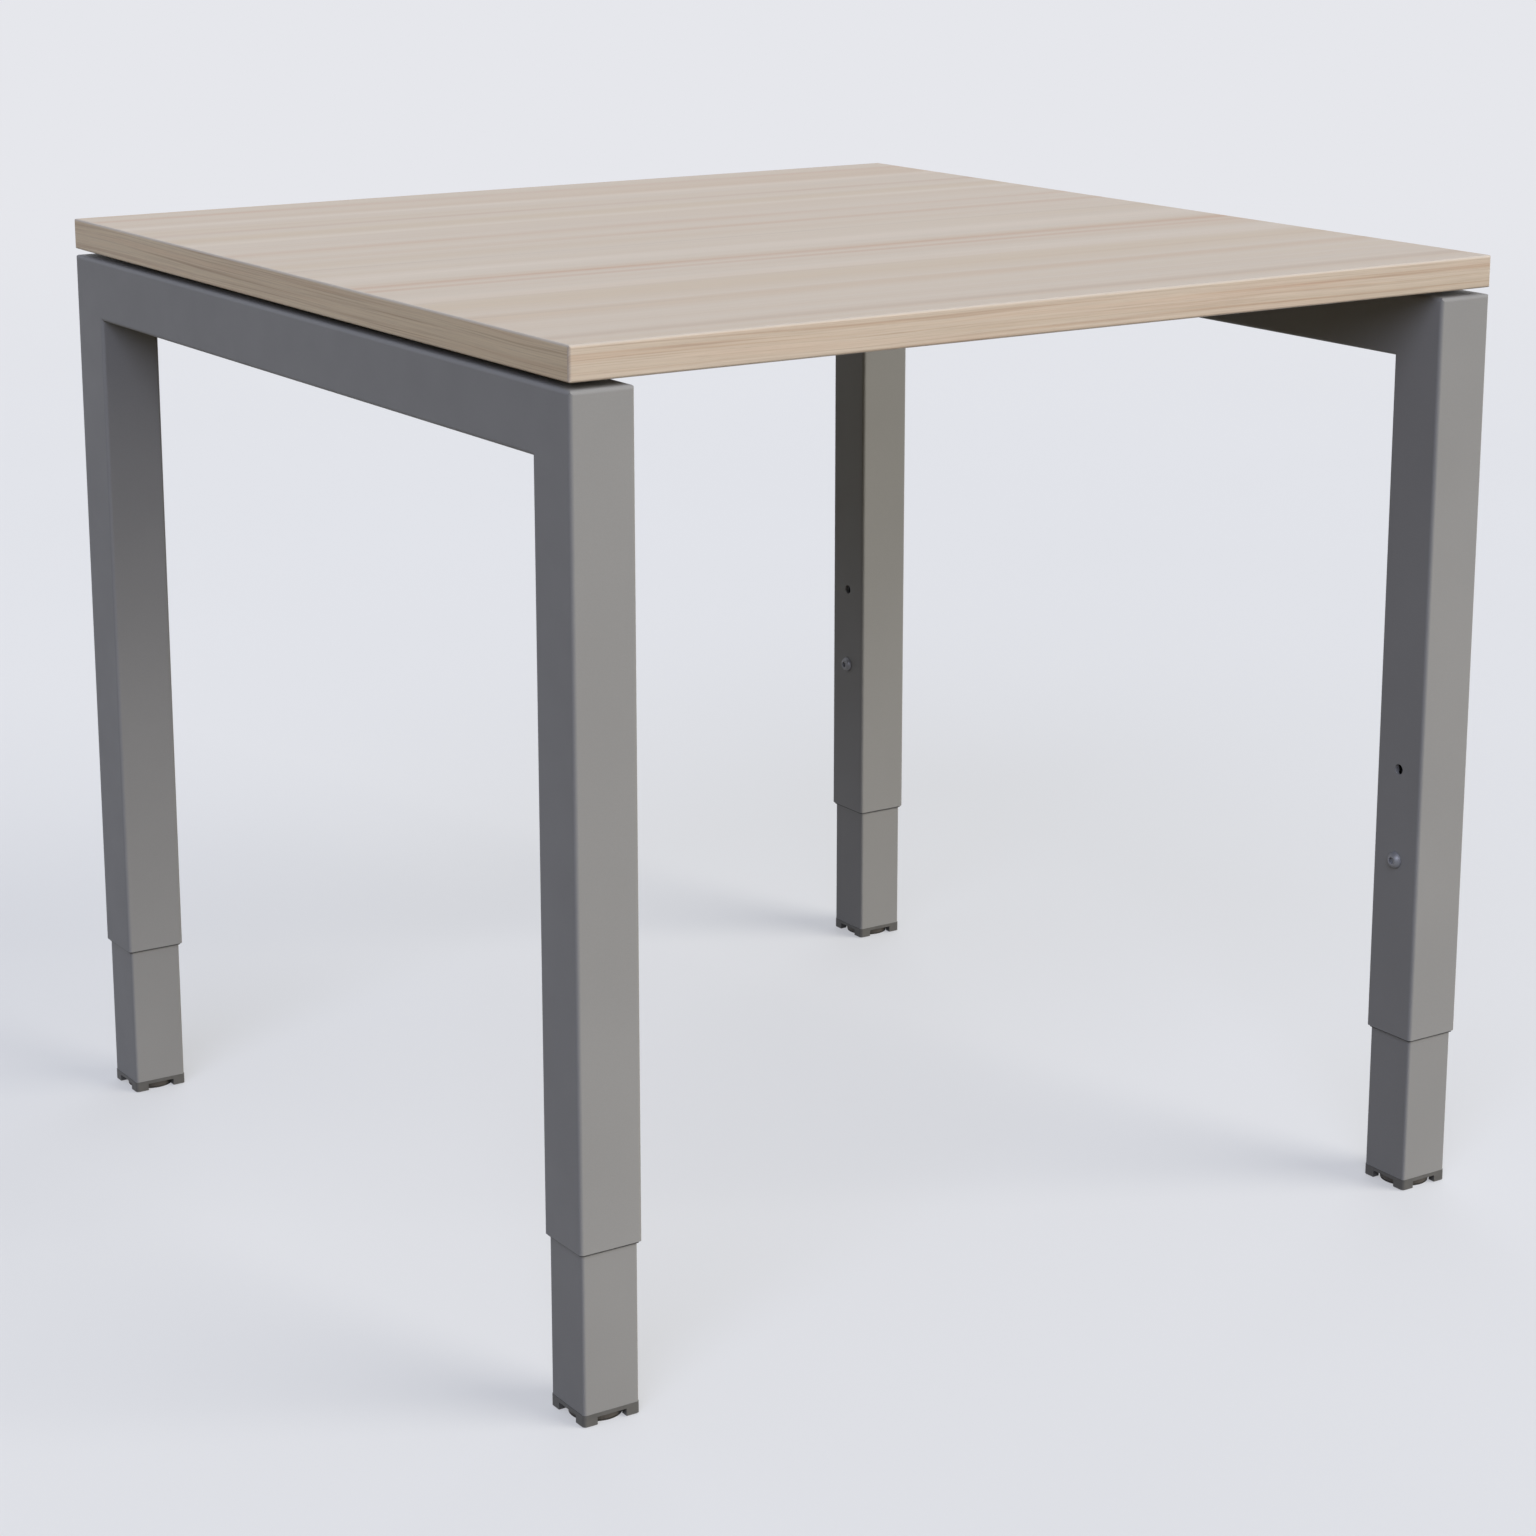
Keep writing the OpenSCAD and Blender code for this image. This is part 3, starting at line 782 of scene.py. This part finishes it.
@dataclass
class RingStack:
    """Rings of points with the same count, skinned to one closed body along +Z.

    A thread's depth and run-out are shares of its pitch, and its end cut is a share of its
    depth. The flank says how steeply a valley opens beside the crest's flat.
    """

    samples: int
    rings: list[Ring] = field(default_factory=list)
    thread_depth: float = 0.6134
    thread_run_out: float = 0.6
    thread_end_cut: float = 0.35
    thread_flank: float = 1.25
    thread_flat: float = 0.12
    rings_per_turn: int = 8

    def add(self, radius: Callable[[float], float], height: Callable[[float], float]) -> None:
        """Adds a ring.

        Args:
            radius: Radius for an angle in radians.
            height: Height for an angle in radians.
        """
        ring = []
        for number in range(self.samples):
            angle = 2 * math.pi * number / self.samples
            reach = radius(angle)
            ring.append(Vector((reach * math.cos(angle), reach * math.sin(angle),
                                height(angle))))
        self.rings.append(ring)

    def add_round(self, radius: float, height: float) -> None:
        """Adds a flat round ring."""
        self.add(lambda angle: radius, lambda angle: height)

    def add_hexagon(self, flats: float, height: float) -> None:
        """Adds a flat ring of hexagon shape with a width across flats."""
        self.add(lambda angle: hexagon_reach(flats, angle), lambda angle: height)

    def add_profile(self, points: Iterable[tuple[float, float]]) -> None:
        """Adds flat round rings through (radius, height) points."""
        for radius, height in points:
            self.add_round(radius, height)

    def add_thread(self, diameter: float, pitch: float, low: float, high: float) -> None:
        """Adds the rings of a right-hand thread, run out at both ends.

        Args:
            diameter: Outer diameter.
            pitch: Distance from crest to crest.
            low: Height of its lower end.
            high: Height of its upper end.
        """
        cut = self.thread_depth * pitch
        end_cut = cut * self.thread_end_cut
        run_out = self.thread_run_out * pitch
        count = max(self.rings_per_turn, round((high - low) / pitch * self.rings_per_turn))
        for step in range(count + 1):
            z = low + (high - low) * step / count
            fade = min(1.0, (z - low) / run_out, (high - z) / run_out)

            def radius(angle: float, z: float = z, fade: float = fade) -> float:
                """Gives the thread's radius at a place on a ring.

                Args:
                    angle: Direction in radians.
                    z: Height of the ring.
                    fade: 1 on the full thread, and 0 at the end of its run-out.

                Returns:
                    The radius.
                """
                phase = (z / pitch - angle / (2 * math.pi)) % 1.0
                opening = abs(2 * phase - 1.0) * self.thread_flank - self.thread_flat
                valley = min(1.0, max(0.0, opening))
                return diameter / 2 - cut * valley * fade - end_cut * (1.0 - fade)

            self.add(radius, lambda angle, z=z: z)

    def points(self) -> Iterator[Vector]:
        """Gives all points of the rings, ring by ring."""
        for ring in self.rings:
            yield from ring

    def build(self, name: str, places: Iterable[Matrix], smooth_angle: float) -> Piece:
        """Makes one object with a copy of the body at each place.

        Args:
            name: The object's name.
            places: Where the copies stand, as matrices of the model's frame.
            smooth_angle: Edges sharper than this stay sharp, in degrees.

        Returns:
            The new object, linked to the scene.
        """
        points: Ring = []
        faces: list[list[int]] = []
        count = self.samples
        last = len(self.rings) - 1
        for place in places:
            base = len(points)
            points.extend(place @ point for point in self.points())
            for layer in range(last):
                for number in range(count):
                    low = base + layer * count
                    after = (number + 1) % count
                    faces.append([low + number, low + after, low + count + after,
                                  low + count + number])
            for layer, turn in ((0, -1), (last, 1)):
                low = base + layer * count
                centre = len(points)
                middle = sum(self.rings[layer], Vector()) / count
                points.append(place @ middle)
                for number in range(count):
                    after = (number + 1) % count
                    pair = [low + number, low + after]
                    faces.append([centre, *pair[::turn]])
        return mesh_object(name, points, faces, smooth_angle)


def hexagon_reach(flats: float, angle: float) -> float:
    """Gives a hexagon's distance from its centre to its side.

    Args:
        flats: Width across flats.
        angle: Direction in radians, with a corner at 0.

    Returns:
        The distance.
    """
    return flats / 2 / math.cos(angle % (math.pi / 3) - math.pi / 6)


def mesh_object(name: str, points: Ring, faces: list[list[int]], smooth_angle: float) -> Piece:
    """Makes a linked object from points and faces.

    Args:
        name: The object's name.
        points: Its points in the model's frame.
        faces: Its faces as lists of point numbers.
        smooth_angle: Edges sharper than this stay sharp, in degrees.

    Returns:
        The new object.
    """
    mesh = bpy.data.meshes.new(name)
    mesh.from_pydata(points, [], faces)
    mesh.validate()
    mesh.shade_smooth()
    mesh.set_sharp_from_angle(angle=math.radians(smooth_angle))
    piece = bpy.data.objects.new(name, mesh)
    bpy.context.scene.collection.objects.link(piece)
    return piece


# Sub-assemblies of the desk


# The cut of a fastener's edges, the plain stretch beside its thread and the cut of its end.
EDGE_CUT = 0.0003
THREAD_GAP = 0.0006
END_CUT = 0.0011


@dataclass
class DeskTop:
    """The board with its four edge bands and what holds it on the frame."""

    book: FinishBook

    def build(self) -> Iterator[Piece]:
        """Dresses the board, the bands, the spacers, the screws and the sleeve nuts.

        Returns:
            The dressed pieces, one after another.
        """
        book = self.book
        yield book.dress_node("desktop_panel", book.panel)
        for end in ("front", "rear"):
            yield book.dress_node(f"{end}_edge_band", book.long_edge)
        for side in ("left", "right"):
            yield book.dress_node(f"{side}_edge_band", book.side_edge)
        yield book.dress_node("top_spacers", book.spacer)
        yield book.dress_node("top_screws", book.zinc)
        yield book.dress_node("top_sleeve_nuts", book.zinc)


@dataclass
class SideFrames:
    """Two side frames, each a crossbar mitred onto two outer leg tubes."""

    book: FinishBook

    def build(self) -> Iterator[Piece]:
        """Dresses the crossbars, the outer legs and the bushes in their mouths.

        Returns:
            The dressed pieces, one after another.
        """
        for side in ("left", "right"):
            yield self.book.dress_node(f"{side}_crossbar", self.book.frame_paint)
        for leg in Leg:
            yield self.book.dress_node(f"{leg.label}_outer_leg", self.book.frame_paint)
            # The bushes in the mouths are dark so that they also stand in for the thin line of
            # shade below each outer tube's lower edge.
            yield self.book.dress_node(f"{leg.label}_mouth_bush", self.book.guide)


@dataclass
class Beams:
    """The two beams with their welded end plates, bolts and rivet nuts."""

    book: FinishBook
    bolt_d: float = 0.008
    bolt_l: float = 0.016
    bolt_pitch: float = 0.00125
    rim_d: float = 0.016
    rim_t: float = 0.0016
    head_h: float = 0.0053
    head_flats: float = 0.013
    chamfer_share: float = 0.97
    chamfer_slope: float = 30.0
    neck: float = 0.0004
    bolt_x: float = 0.355
    bolt_z: float = 0.71
    beam_y: float = 0.145
    bolt_gap: float = 0.048
    tube_w: float = 0.020
    tube_h: float = 0.040
    tube_r: float = 0.002
    weld_r: float = 0.0019
    ripple: float = 0.0018
    ripple_share: float = 0.10

    def build(self) -> Iterator[Piece]:
        """Dresses the beams, turns their bolts and lays their welds.

        Returns:
            The dressed and the new pieces, one after another.
        """
        book = self.book
        for end in ("front", "rear"):
            yield book.dress_node(f"{end}_beam", book.frame_paint)
        yield book.dress_node("beam_rivet_nuts", book.zinc)
        bolts = self._bolt().build("flanged_beam_bolts", self._bolt_places(), smooth_angle=40)
        yield book.new_piece(bolts, book.zinc, FRAME_BODY, "beam_bolts")
        for end, sign in (("front", -1), ("rear", 1)):
            yield book.new_piece(self._welds(f"{end}_beam_welds", sign * self.beam_y),
                                 book.frame_paint, FRAME_BODY, "")

    def _bolt(self) -> RingStack:
        """Gives a flanged hexagon bolt whose thread points up from z = 0.

        Returns:
            The rings of the bolt.
        """
        stack = RingStack(samples=36)
        top = -self.head_h
        chamfer_r = self.head_flats / 2 * self.chamfer_share
        rim_r, r = self.rim_d / 2, self.bolt_d / 2

        def crown(angle: float) -> float:
            """Gives the height of the head's chamfered edge at an angle."""
            over = max(0.0, hexagon_reach(self.head_flats, angle) - chamfer_r)
            return top + over * math.tan(math.radians(self.chamfer_slope))

        stack.add_round(chamfer_r * 0.8, top)
        stack.add_round(chamfer_r, top)
        stack.add(lambda angle: hexagon_reach(self.head_flats, angle), crown)
        stack.add_hexagon(self.head_flats, -self.rim_t - self.neck)
        stack.add_profile(((rim_r - EDGE_CUT, -self.rim_t + 0.0002),
                           (rim_r, -self.rim_t + 0.0007), (rim_r, 0.0), (r - EDGE_CUT, 0.0)))
        stack.add_thread(self.bolt_d, self.bolt_pitch, THREAD_GAP, self.bolt_l - THREAD_GAP)
        stack.add_round(r - END_CUT, self.bolt_l)
        return stack

    def _bolt_places(self) -> Iterator[Matrix]:
        """Gives the places of the eight bolts, pointing out into the crossbars.

        Returns:
            The places, one after another.
        """
        for side in (-1, 1):
            for end in (-1, 1):
                for half in (-1, 1):
                    y = end * self.beam_y + half * self.bolt_gap / 2
                    yield (Matrix.Translation((side * self.bolt_x, y, self.bolt_z))
                           @ Matrix.Rotation(side * math.pi / 2, 4, "Y"))

    def _welds(self, name: str, y: float) -> Piece:
        """Lays a rippled fillet weld round the tube at both ends of a beam.

        Args:
            name: The piece's name.
            y: The beam's place.

        Returns:
            The piece.
        """
        steps = 96
        around = 8
        points: Ring = []
        faces: list[list[int]] = []
        for side in (-1, 1):
            base = len(points)
            x = side * self.bolt_x
            for step in range(steps):
                centre, out, run = self._weld_path(step / steps)
                wave = self.ripple_share * math.sin(2 * math.pi * run / self.ripple)
                size = self.weld_r * (1 + wave)
                for number in range(around):
                    angle = 2 * math.pi * number / around
                    lift = out * (size * math.cos(angle))
                    points.append(Vector((x - side * size * math.sin(angle), y + centre[0]
                                          + lift[0], self.bolt_z + centre[1] + lift[1])))
            for step in range(steps):
                after = (step + 1) % steps
                for number in range(around):
                    beside = (number + 1) % around
                    quad = [base + step * around + number, base + after * around + number,
                            base + after * around + beside, base + step * around + beside]
                    faces.append(quad[::-side])
        return mesh_object(name, points, faces, smooth_angle=60)

    def _weld_path(self, share: float) -> tuple[Vector, Vector, float]:
        """Walks round the tube's outline.

        Args:
            share: How far round, from 0 to 1.

        Returns:
            The place in Y and Z about the tube's middle, the outward direction and the length
            walked so far.
        """
        w, h, r = self.tube_w / 2, self.tube_h / 2, self.tube_r
        arc = math.pi / 2 * r
        parts = (2 * (h - r), arc, 2 * (w - r), arc) * 2
        total = sum(parts)
        left = share * total
        walked = left
        corners = ((w, -h + r), (w - r, h - r), (w - r, h), (-w + r, h - r),
                   (-w, h - r), (-w + r, -h + r), (-w + r, -h), (w - r, -h + r))
        for number, length in enumerate(parts):
            if left <= length or number == len(parts) - 1:
                break
            left -= length
        quarter = number // 2
        facing = quarter * math.pi / 2
        out = Vector((math.cos(facing), math.sin(facing)))
        start = Vector(corners[number])
        if number % 2 == 0:
            ahead = Vector((-out[1], out[0]))
            return start + ahead * left, out, walked
        angle = facing + left / r
        out = Vector((math.cos(angle), math.sin(angle)))
        return start + out * r, out, walked


@dataclass
class TelescopicLeg:
    """One inner leg with its guide, lock screw and clamp plate."""

    book: FinishBook
    leg: Leg
    axis: float = 0.385
    seat: float = 0.02505
    screw_z: float = 0.276
    shank_d: float = 0.008
    pitch: float = 0.00125
    shank_l: float = 0.016
    head_d: float = 0.014
    head_h: float = 0.0044
    rim_share: float = 0.15
    flat_share: float = 0.27
    dome_steps: int = 10
    socket: float = 0.005
    socket_share: float = 0.6
    mouth_cut: float = 0.00025

    def build(self) -> Iterator[Piece]:
        """Dresses the sliding tube, its guide and its clamp plate, and turns its lock screw.

        Returns:
            The dressed and the new pieces, one after another.
        """
        book, label = self.book, self.leg.label
        yield book.dress_node(f"{label}_inner_leg", book.inner_paint)
        yield book.dress_node(f"{label}_leg_guide", book.guide)
        yield book.dress_node(f"{label}_clamp_plate", book.zinc)
        screw = self._screw().build(f"{label}_button_screw", [self._place()], smooth_angle=32)
        yield book.new_piece(screw, book.screw_paint, f"{label}_screw", f"{label}_lock_screw")

    def _place(self) -> Matrix:
        """Gives the screw's place, with its head towards the other side frame.

        Returns:
            The place, which turns the screw's own Z axis inward.
        """
        inward = -self.leg.side
        x = self.leg.side * (self.axis - self.seat)
        return (Matrix.Translation((x, self.leg.end * self.axis, self.screw_z))
                @ Matrix.Rotation(inward * math.pi / 2, 4, "Y"))

    def _screw(self) -> RingStack:
        """Gives a button head screw with its seat at z = 0 and its head above it.

        Returns:
            The rings of the screw.
        """
        stack = RingStack(samples=48)
        stack.add_round(self.shank_d / 2 - END_CUT, -self.shank_l)
        stack.add_thread(self.shank_d, self.pitch, -self.shank_l + 0.0005, -THREAD_GAP)
        r, h = self.head_d / 2, self.head_h
        rim, flat_r = self.rim_share * h, self.flat_share * self.head_d
        middle = ((h * h + flat_r ** 2) - (rim * rim + r * r)) / (2 * (h - rim))
        ball = math.hypot(flat_r, h - middle)
        stack.add_profile(((self.shank_d / 2, 0.0), (r - 0.00025, 0.0), (r - 0.00006, 0.0001),
                           (r, EDGE_CUT), (r, rim - 0.0002)))
        for step in range(self.dome_steps + 1):
            reach = r + (flat_r - r) * step / self.dome_steps
            stack.add_round(reach - (0.00003 if step == 0 else 0.0),
                            middle + math.sqrt(max(0.0, ball ** 2 - reach ** 2)))
        mouth = self.socket / math.cos(math.pi / 6) / 2 + self.mouth_cut
        floor = h * (1 - self.socket_share)
        stack.add_round((flat_r + mouth) / 2, h)
        stack.add_round(mouth, h)
        stack.add_hexagon(self.socket, h - EDGE_CUT)
        stack.add_hexagon(self.socket, floor)
        stack.add_round(self.socket * 0.44, floor - 0.0001)
        stack.add_round(self.socket * 0.10, floor - 0.0006)
        return stack


@dataclass
class LevellingFoot:
    """One foot: the notched cap in the leg, the disc on its threaded stud, nut and sole."""

    book: FinishBook
    leg: Leg
    axis: float = 0.385
    flange_z: float = 0.0038
    flange_t: float = 0.0016
    flange_d: float = 0.013
    stud_d: float = 0.008
    stud_top: float = 0.0473
    pitch: float = 0.00125

    def build(self) -> Iterator[Piece]:
        """Dresses the cap, the nut, the disc and the sole, and cuts the stud's thread.

        Returns:
            The dressed and the new pieces, one after another.
        """
        book, label = self.book, self.leg.label
        yield book.dress_node(f"{label}_foot_cap", book.foot)
        yield book.dress_node(f"{label}_glide_nut", book.zinc)
        yield book.dress_node(f"{label}_glide", book.disc)
        yield book.dress_node(f"{label}_glide_sole", book.rubber)
        place = Matrix.Translation((self.leg.side * self.axis, self.leg.end * self.axis, 0.0))
        stud = self._stud().build(f"{label}_threaded_stud", [place], smooth_angle=32)
        yield book.new_piece(stud, book.zinc, f"{label}_disc", f"{label}_glide_stud")

    def _stud(self) -> RingStack:
        """Gives the stud with the flange that the disc is moulded round.

        Returns:
            The rings of the stud.
        """
        stack = RingStack(samples=32)
        low, high = self.flange_z, self.flange_z + self.flange_t
        flange_r, r = self.flange_d / 2, self.stud_d / 2
        stack.add_profile(((flange_r - EDGE_CUT, low), (flange_r, low + EDGE_CUT),
                           (flange_r, high - EDGE_CUT), (flange_r - EDGE_CUT, high), (r, high),
                           (r, high + THREAD_GAP)))
        stack.add_thread(self.stud_d, self.pitch, high + 0.0010, self.stud_top - THREAD_GAP)
        stack.add_profile(((r - 0.0008, self.stud_top - EDGE_CUT), (r - 0.0012, self.stud_top)))
        return stack


# The studio


@dataclass(frozen=True)
class Lamp:
    """A far lamp of a wide apparent size, so that it lights evenly and throws soft shadows."""

    name: str
    towards: tuple[float, float, float]
    spread: float
    strength: float
    colour: Colour
    mirrored: bool = True
    distance: float = 4.0

    def build(self) -> Piece:
        """Hangs the lamp in its direction from the desk.

        Returns:
            The lamp.
        """
        data = bpy.data.lights.new(self.name, "SUN")
        data.angle = math.radians(self.spread)
        data.energy = self.strength
        data.color = self.colour
        lamp = bpy.data.objects.new(self.name, data)
        lamp.visible_glossy = self.mirrored
        way = Vector(self.towards).normalized()
        lamp.location = way * self.distance
        lamp.rotation_euler = way.to_track_quat("Z", "Y").to_euler()
        bpy.context.scene.collection.objects.link(lamp)
        return lamp


@dataclass
class Studio:
    """A pale floor that runs into a pale backdrop, soft lamps and a sky light.

    floor_glow, horizon and sky light the desk, and floor_shown and backdrop are what the
    camera sees.
    """

    floor_r: float = 45.0
    near_r: float = 2.4
    far_r: float = 7.0
    shadow_share: float = 0.52
    mottle: float = 0.985
    floor_colour: Colour = linear(219, 221, 223)
    floor_glow: Colour = (0.10, 0.078, 0.045)
    floor_shown: Colour = linear(229, 230, 234)
    backdrop: Colour = linear(230, 231, 236)
    sky: Colour = (0.345, 0.37, 0.43)
    horizon: Colour = (0.11, 0.09, 0.03)
    sky_from: float = 0.10
    sky_full: float = 0.55
    lamps: tuple[Lamp, ...] = (
        Lamp("key_lamp", (0.49, -0.62, 0.36), 45.0, 3.29, (1.0, 0.95, 0.86), False),
        Lamp("front_left_lamp", (-0.60, -0.60, 0.53), 40.0, 1.56, (0.77, 0.81, 1.02)),
        Lamp("rear_lamp", (0.60, 0.70, 0.36), 50.0, 0.85, (0.93, 0.95, 1.0), False),
    )

    def build(self) -> Iterator[Piece]:
        """Lays the floor, sets the sky light and hangs the lamps.

        Returns:
            The floor and the lamps, one after another.
        """
        yield self._floor()
        self._sky_light()
        for lamp in self.lamps:
            yield lamp.build()

    def _floor(self) -> Piece:
        """Lays the round floor with its middle under the desk.

        Returns:
            The floor.
        """
        count = 96
        points = [Vector((self.floor_r * math.cos(2 * math.pi * n / count),
                          self.floor_r * math.sin(2 * math.pi * n / count), 0.0))
                  for n in range(count)]
        floor = mesh_object("studio_floor", points, [list(range(count))], smooth_angle=30)
        floor.data.materials.append(self._floor_material())
        return floor

    def _floor_material(self) -> bpy.types.Material:
        """Paints the floor so that it keeps soft shadows and runs into the backdrop.

        Returns:
            The material.
        """
        sheet = material_sheet("studio_floor_paint")
        axes = sheet.axes()
        flat = sheet.vector(axes["X"], axes["Y"], 0.0)
        reach = sheet.add("ShaderNodeVectorMath", {0: flat}, operation="LENGTH").outputs["Value"]
        away = sheet.spread(reach, self.near_r, self.far_r, smooth=True)
        mottle = sheet.cloud(0.7, 2.0, 0.5)
        dark = toned(self.floor_colour, self.mottle)
        colour = sheet.ramp(mottle, ((0.3, dark), (0.7, self.floor_colour)))
        seen = self._seen(sheet)
        colour = sheet.blend(seen, self.floor_glow, colour)
        painted = sheet.add("ShaderNodeBsdfDiffuse", {"Color": colour}).outputs[0]
        shown = sheet.blend(away, self.floor_shown, self.backdrop)
        glow = sheet.add("ShaderNodeEmission", {"Color": shown, "Strength": 1.0}).outputs[0]
        share = sheet.spread(away, 0.0, 1.0, 1.0 - self.shadow_share, 1.0)
        share = sheet.sum("MULTIPLY", share, seen)
        mixed = sheet.add("ShaderNodeMixShader", {0: share, 1: painted, 2: glow}).outputs[0]
        sheet.add("ShaderNodeOutputMaterial", {"Surface": mixed})
        return sheet.owner

    @staticmethod
    def _seen(sheet: NodeSheet) -> Socket:
        """Gives 1 on rays that show the surroundings, and 0 on rays that only light.

        Args:
            sheet: The nodes of the floor or the sky.

        Returns:
            The socket.
        """
        path = sheet.add("ShaderNodeLightPath").outputs
        seen = sheet.sum("MAXIMUM", path["Is Camera Ray"], path["Is Glossy Ray"])
        return sheet.sum("MAXIMUM", seen, path["Is Transmission Ray"])

    def _sky_light(self) -> None:
        """Sets a sky light that dims toward the horizon, and is shown as the backdrop."""
        world = bpy.data.worlds.new("studio_sky")
        bpy.context.scene.world = world
        sheet = NodeSheet(world, "Generated")
        rise = sheet.spread(sheet.axes()["Z"], self.sky_from, self.sky_full)
        light = sheet.blend(rise, self.horizon, self.sky)
        colour = sheet.blend(self._seen(sheet), light, self.backdrop)
        glow = sheet.add("ShaderNodeBackground", {"Color": colour}).outputs[0]
        sheet.add("ShaderNodeOutputWorld", {"Surface": glow})


@dataclass(frozen=True)
class PhotoCamera:
    """The camera, standing and looking as the photograph's did."""

    place: tuple[float, float, float] = (-1.5278, -2.3419, 1.1074)
    turned: float = 33.351
    tipped: float = 13.320
    lens: float = 81.89
    sensor: float = 36.0
    shift_y: float = -0.0977
    clip_end: float = 120.0

    def build(self) -> Piece:
        """Sets the camera up and makes it the scene's camera.

        Returns:
            The camera.
        """
        data = bpy.data.cameras.new("photo_camera")
        data.lens = self.lens
        data.sensor_width = self.sensor
        data.shift_y = self.shift_y
        data.clip_end = self.clip_end
        camera = bpy.data.objects.new("photo_camera", data)
        camera.location = self.place
        camera.rotation_euler = (math.radians(90 - self.tipped), 0.0, -math.radians(self.turned))
        bpy.context.scene.collection.objects.link(camera)
        bpy.context.scene.camera = camera
        return camera


def main() -> None:
    """Sets up the camera, builds each sub-assembly in order and reports its pieces."""
    logging.basicConfig(level=logging.INFO, format="%(name)s: %(message)s", stream=sys.stdout)
    scene = bpy.context.scene
    scene.view_settings.view_transform = "Standard"
    LOG.info("camera %s", PhotoCamera().build().name)
    book = FinishBook()
    assemblies = [DeskTop(book), SideFrames(book), Beams(book)]
    assemblies += [TelescopicLeg(book, leg) for leg in Leg]
    assemblies += [LevellingFoot(book, leg) for leg in Leg]
    for assembly in (*assemblies, Studio()):
        for piece in assembly.build():
            LOG.info("%s: %s", type(assembly).__name__, piece.name)


if __name__ == "__main__":
    main()
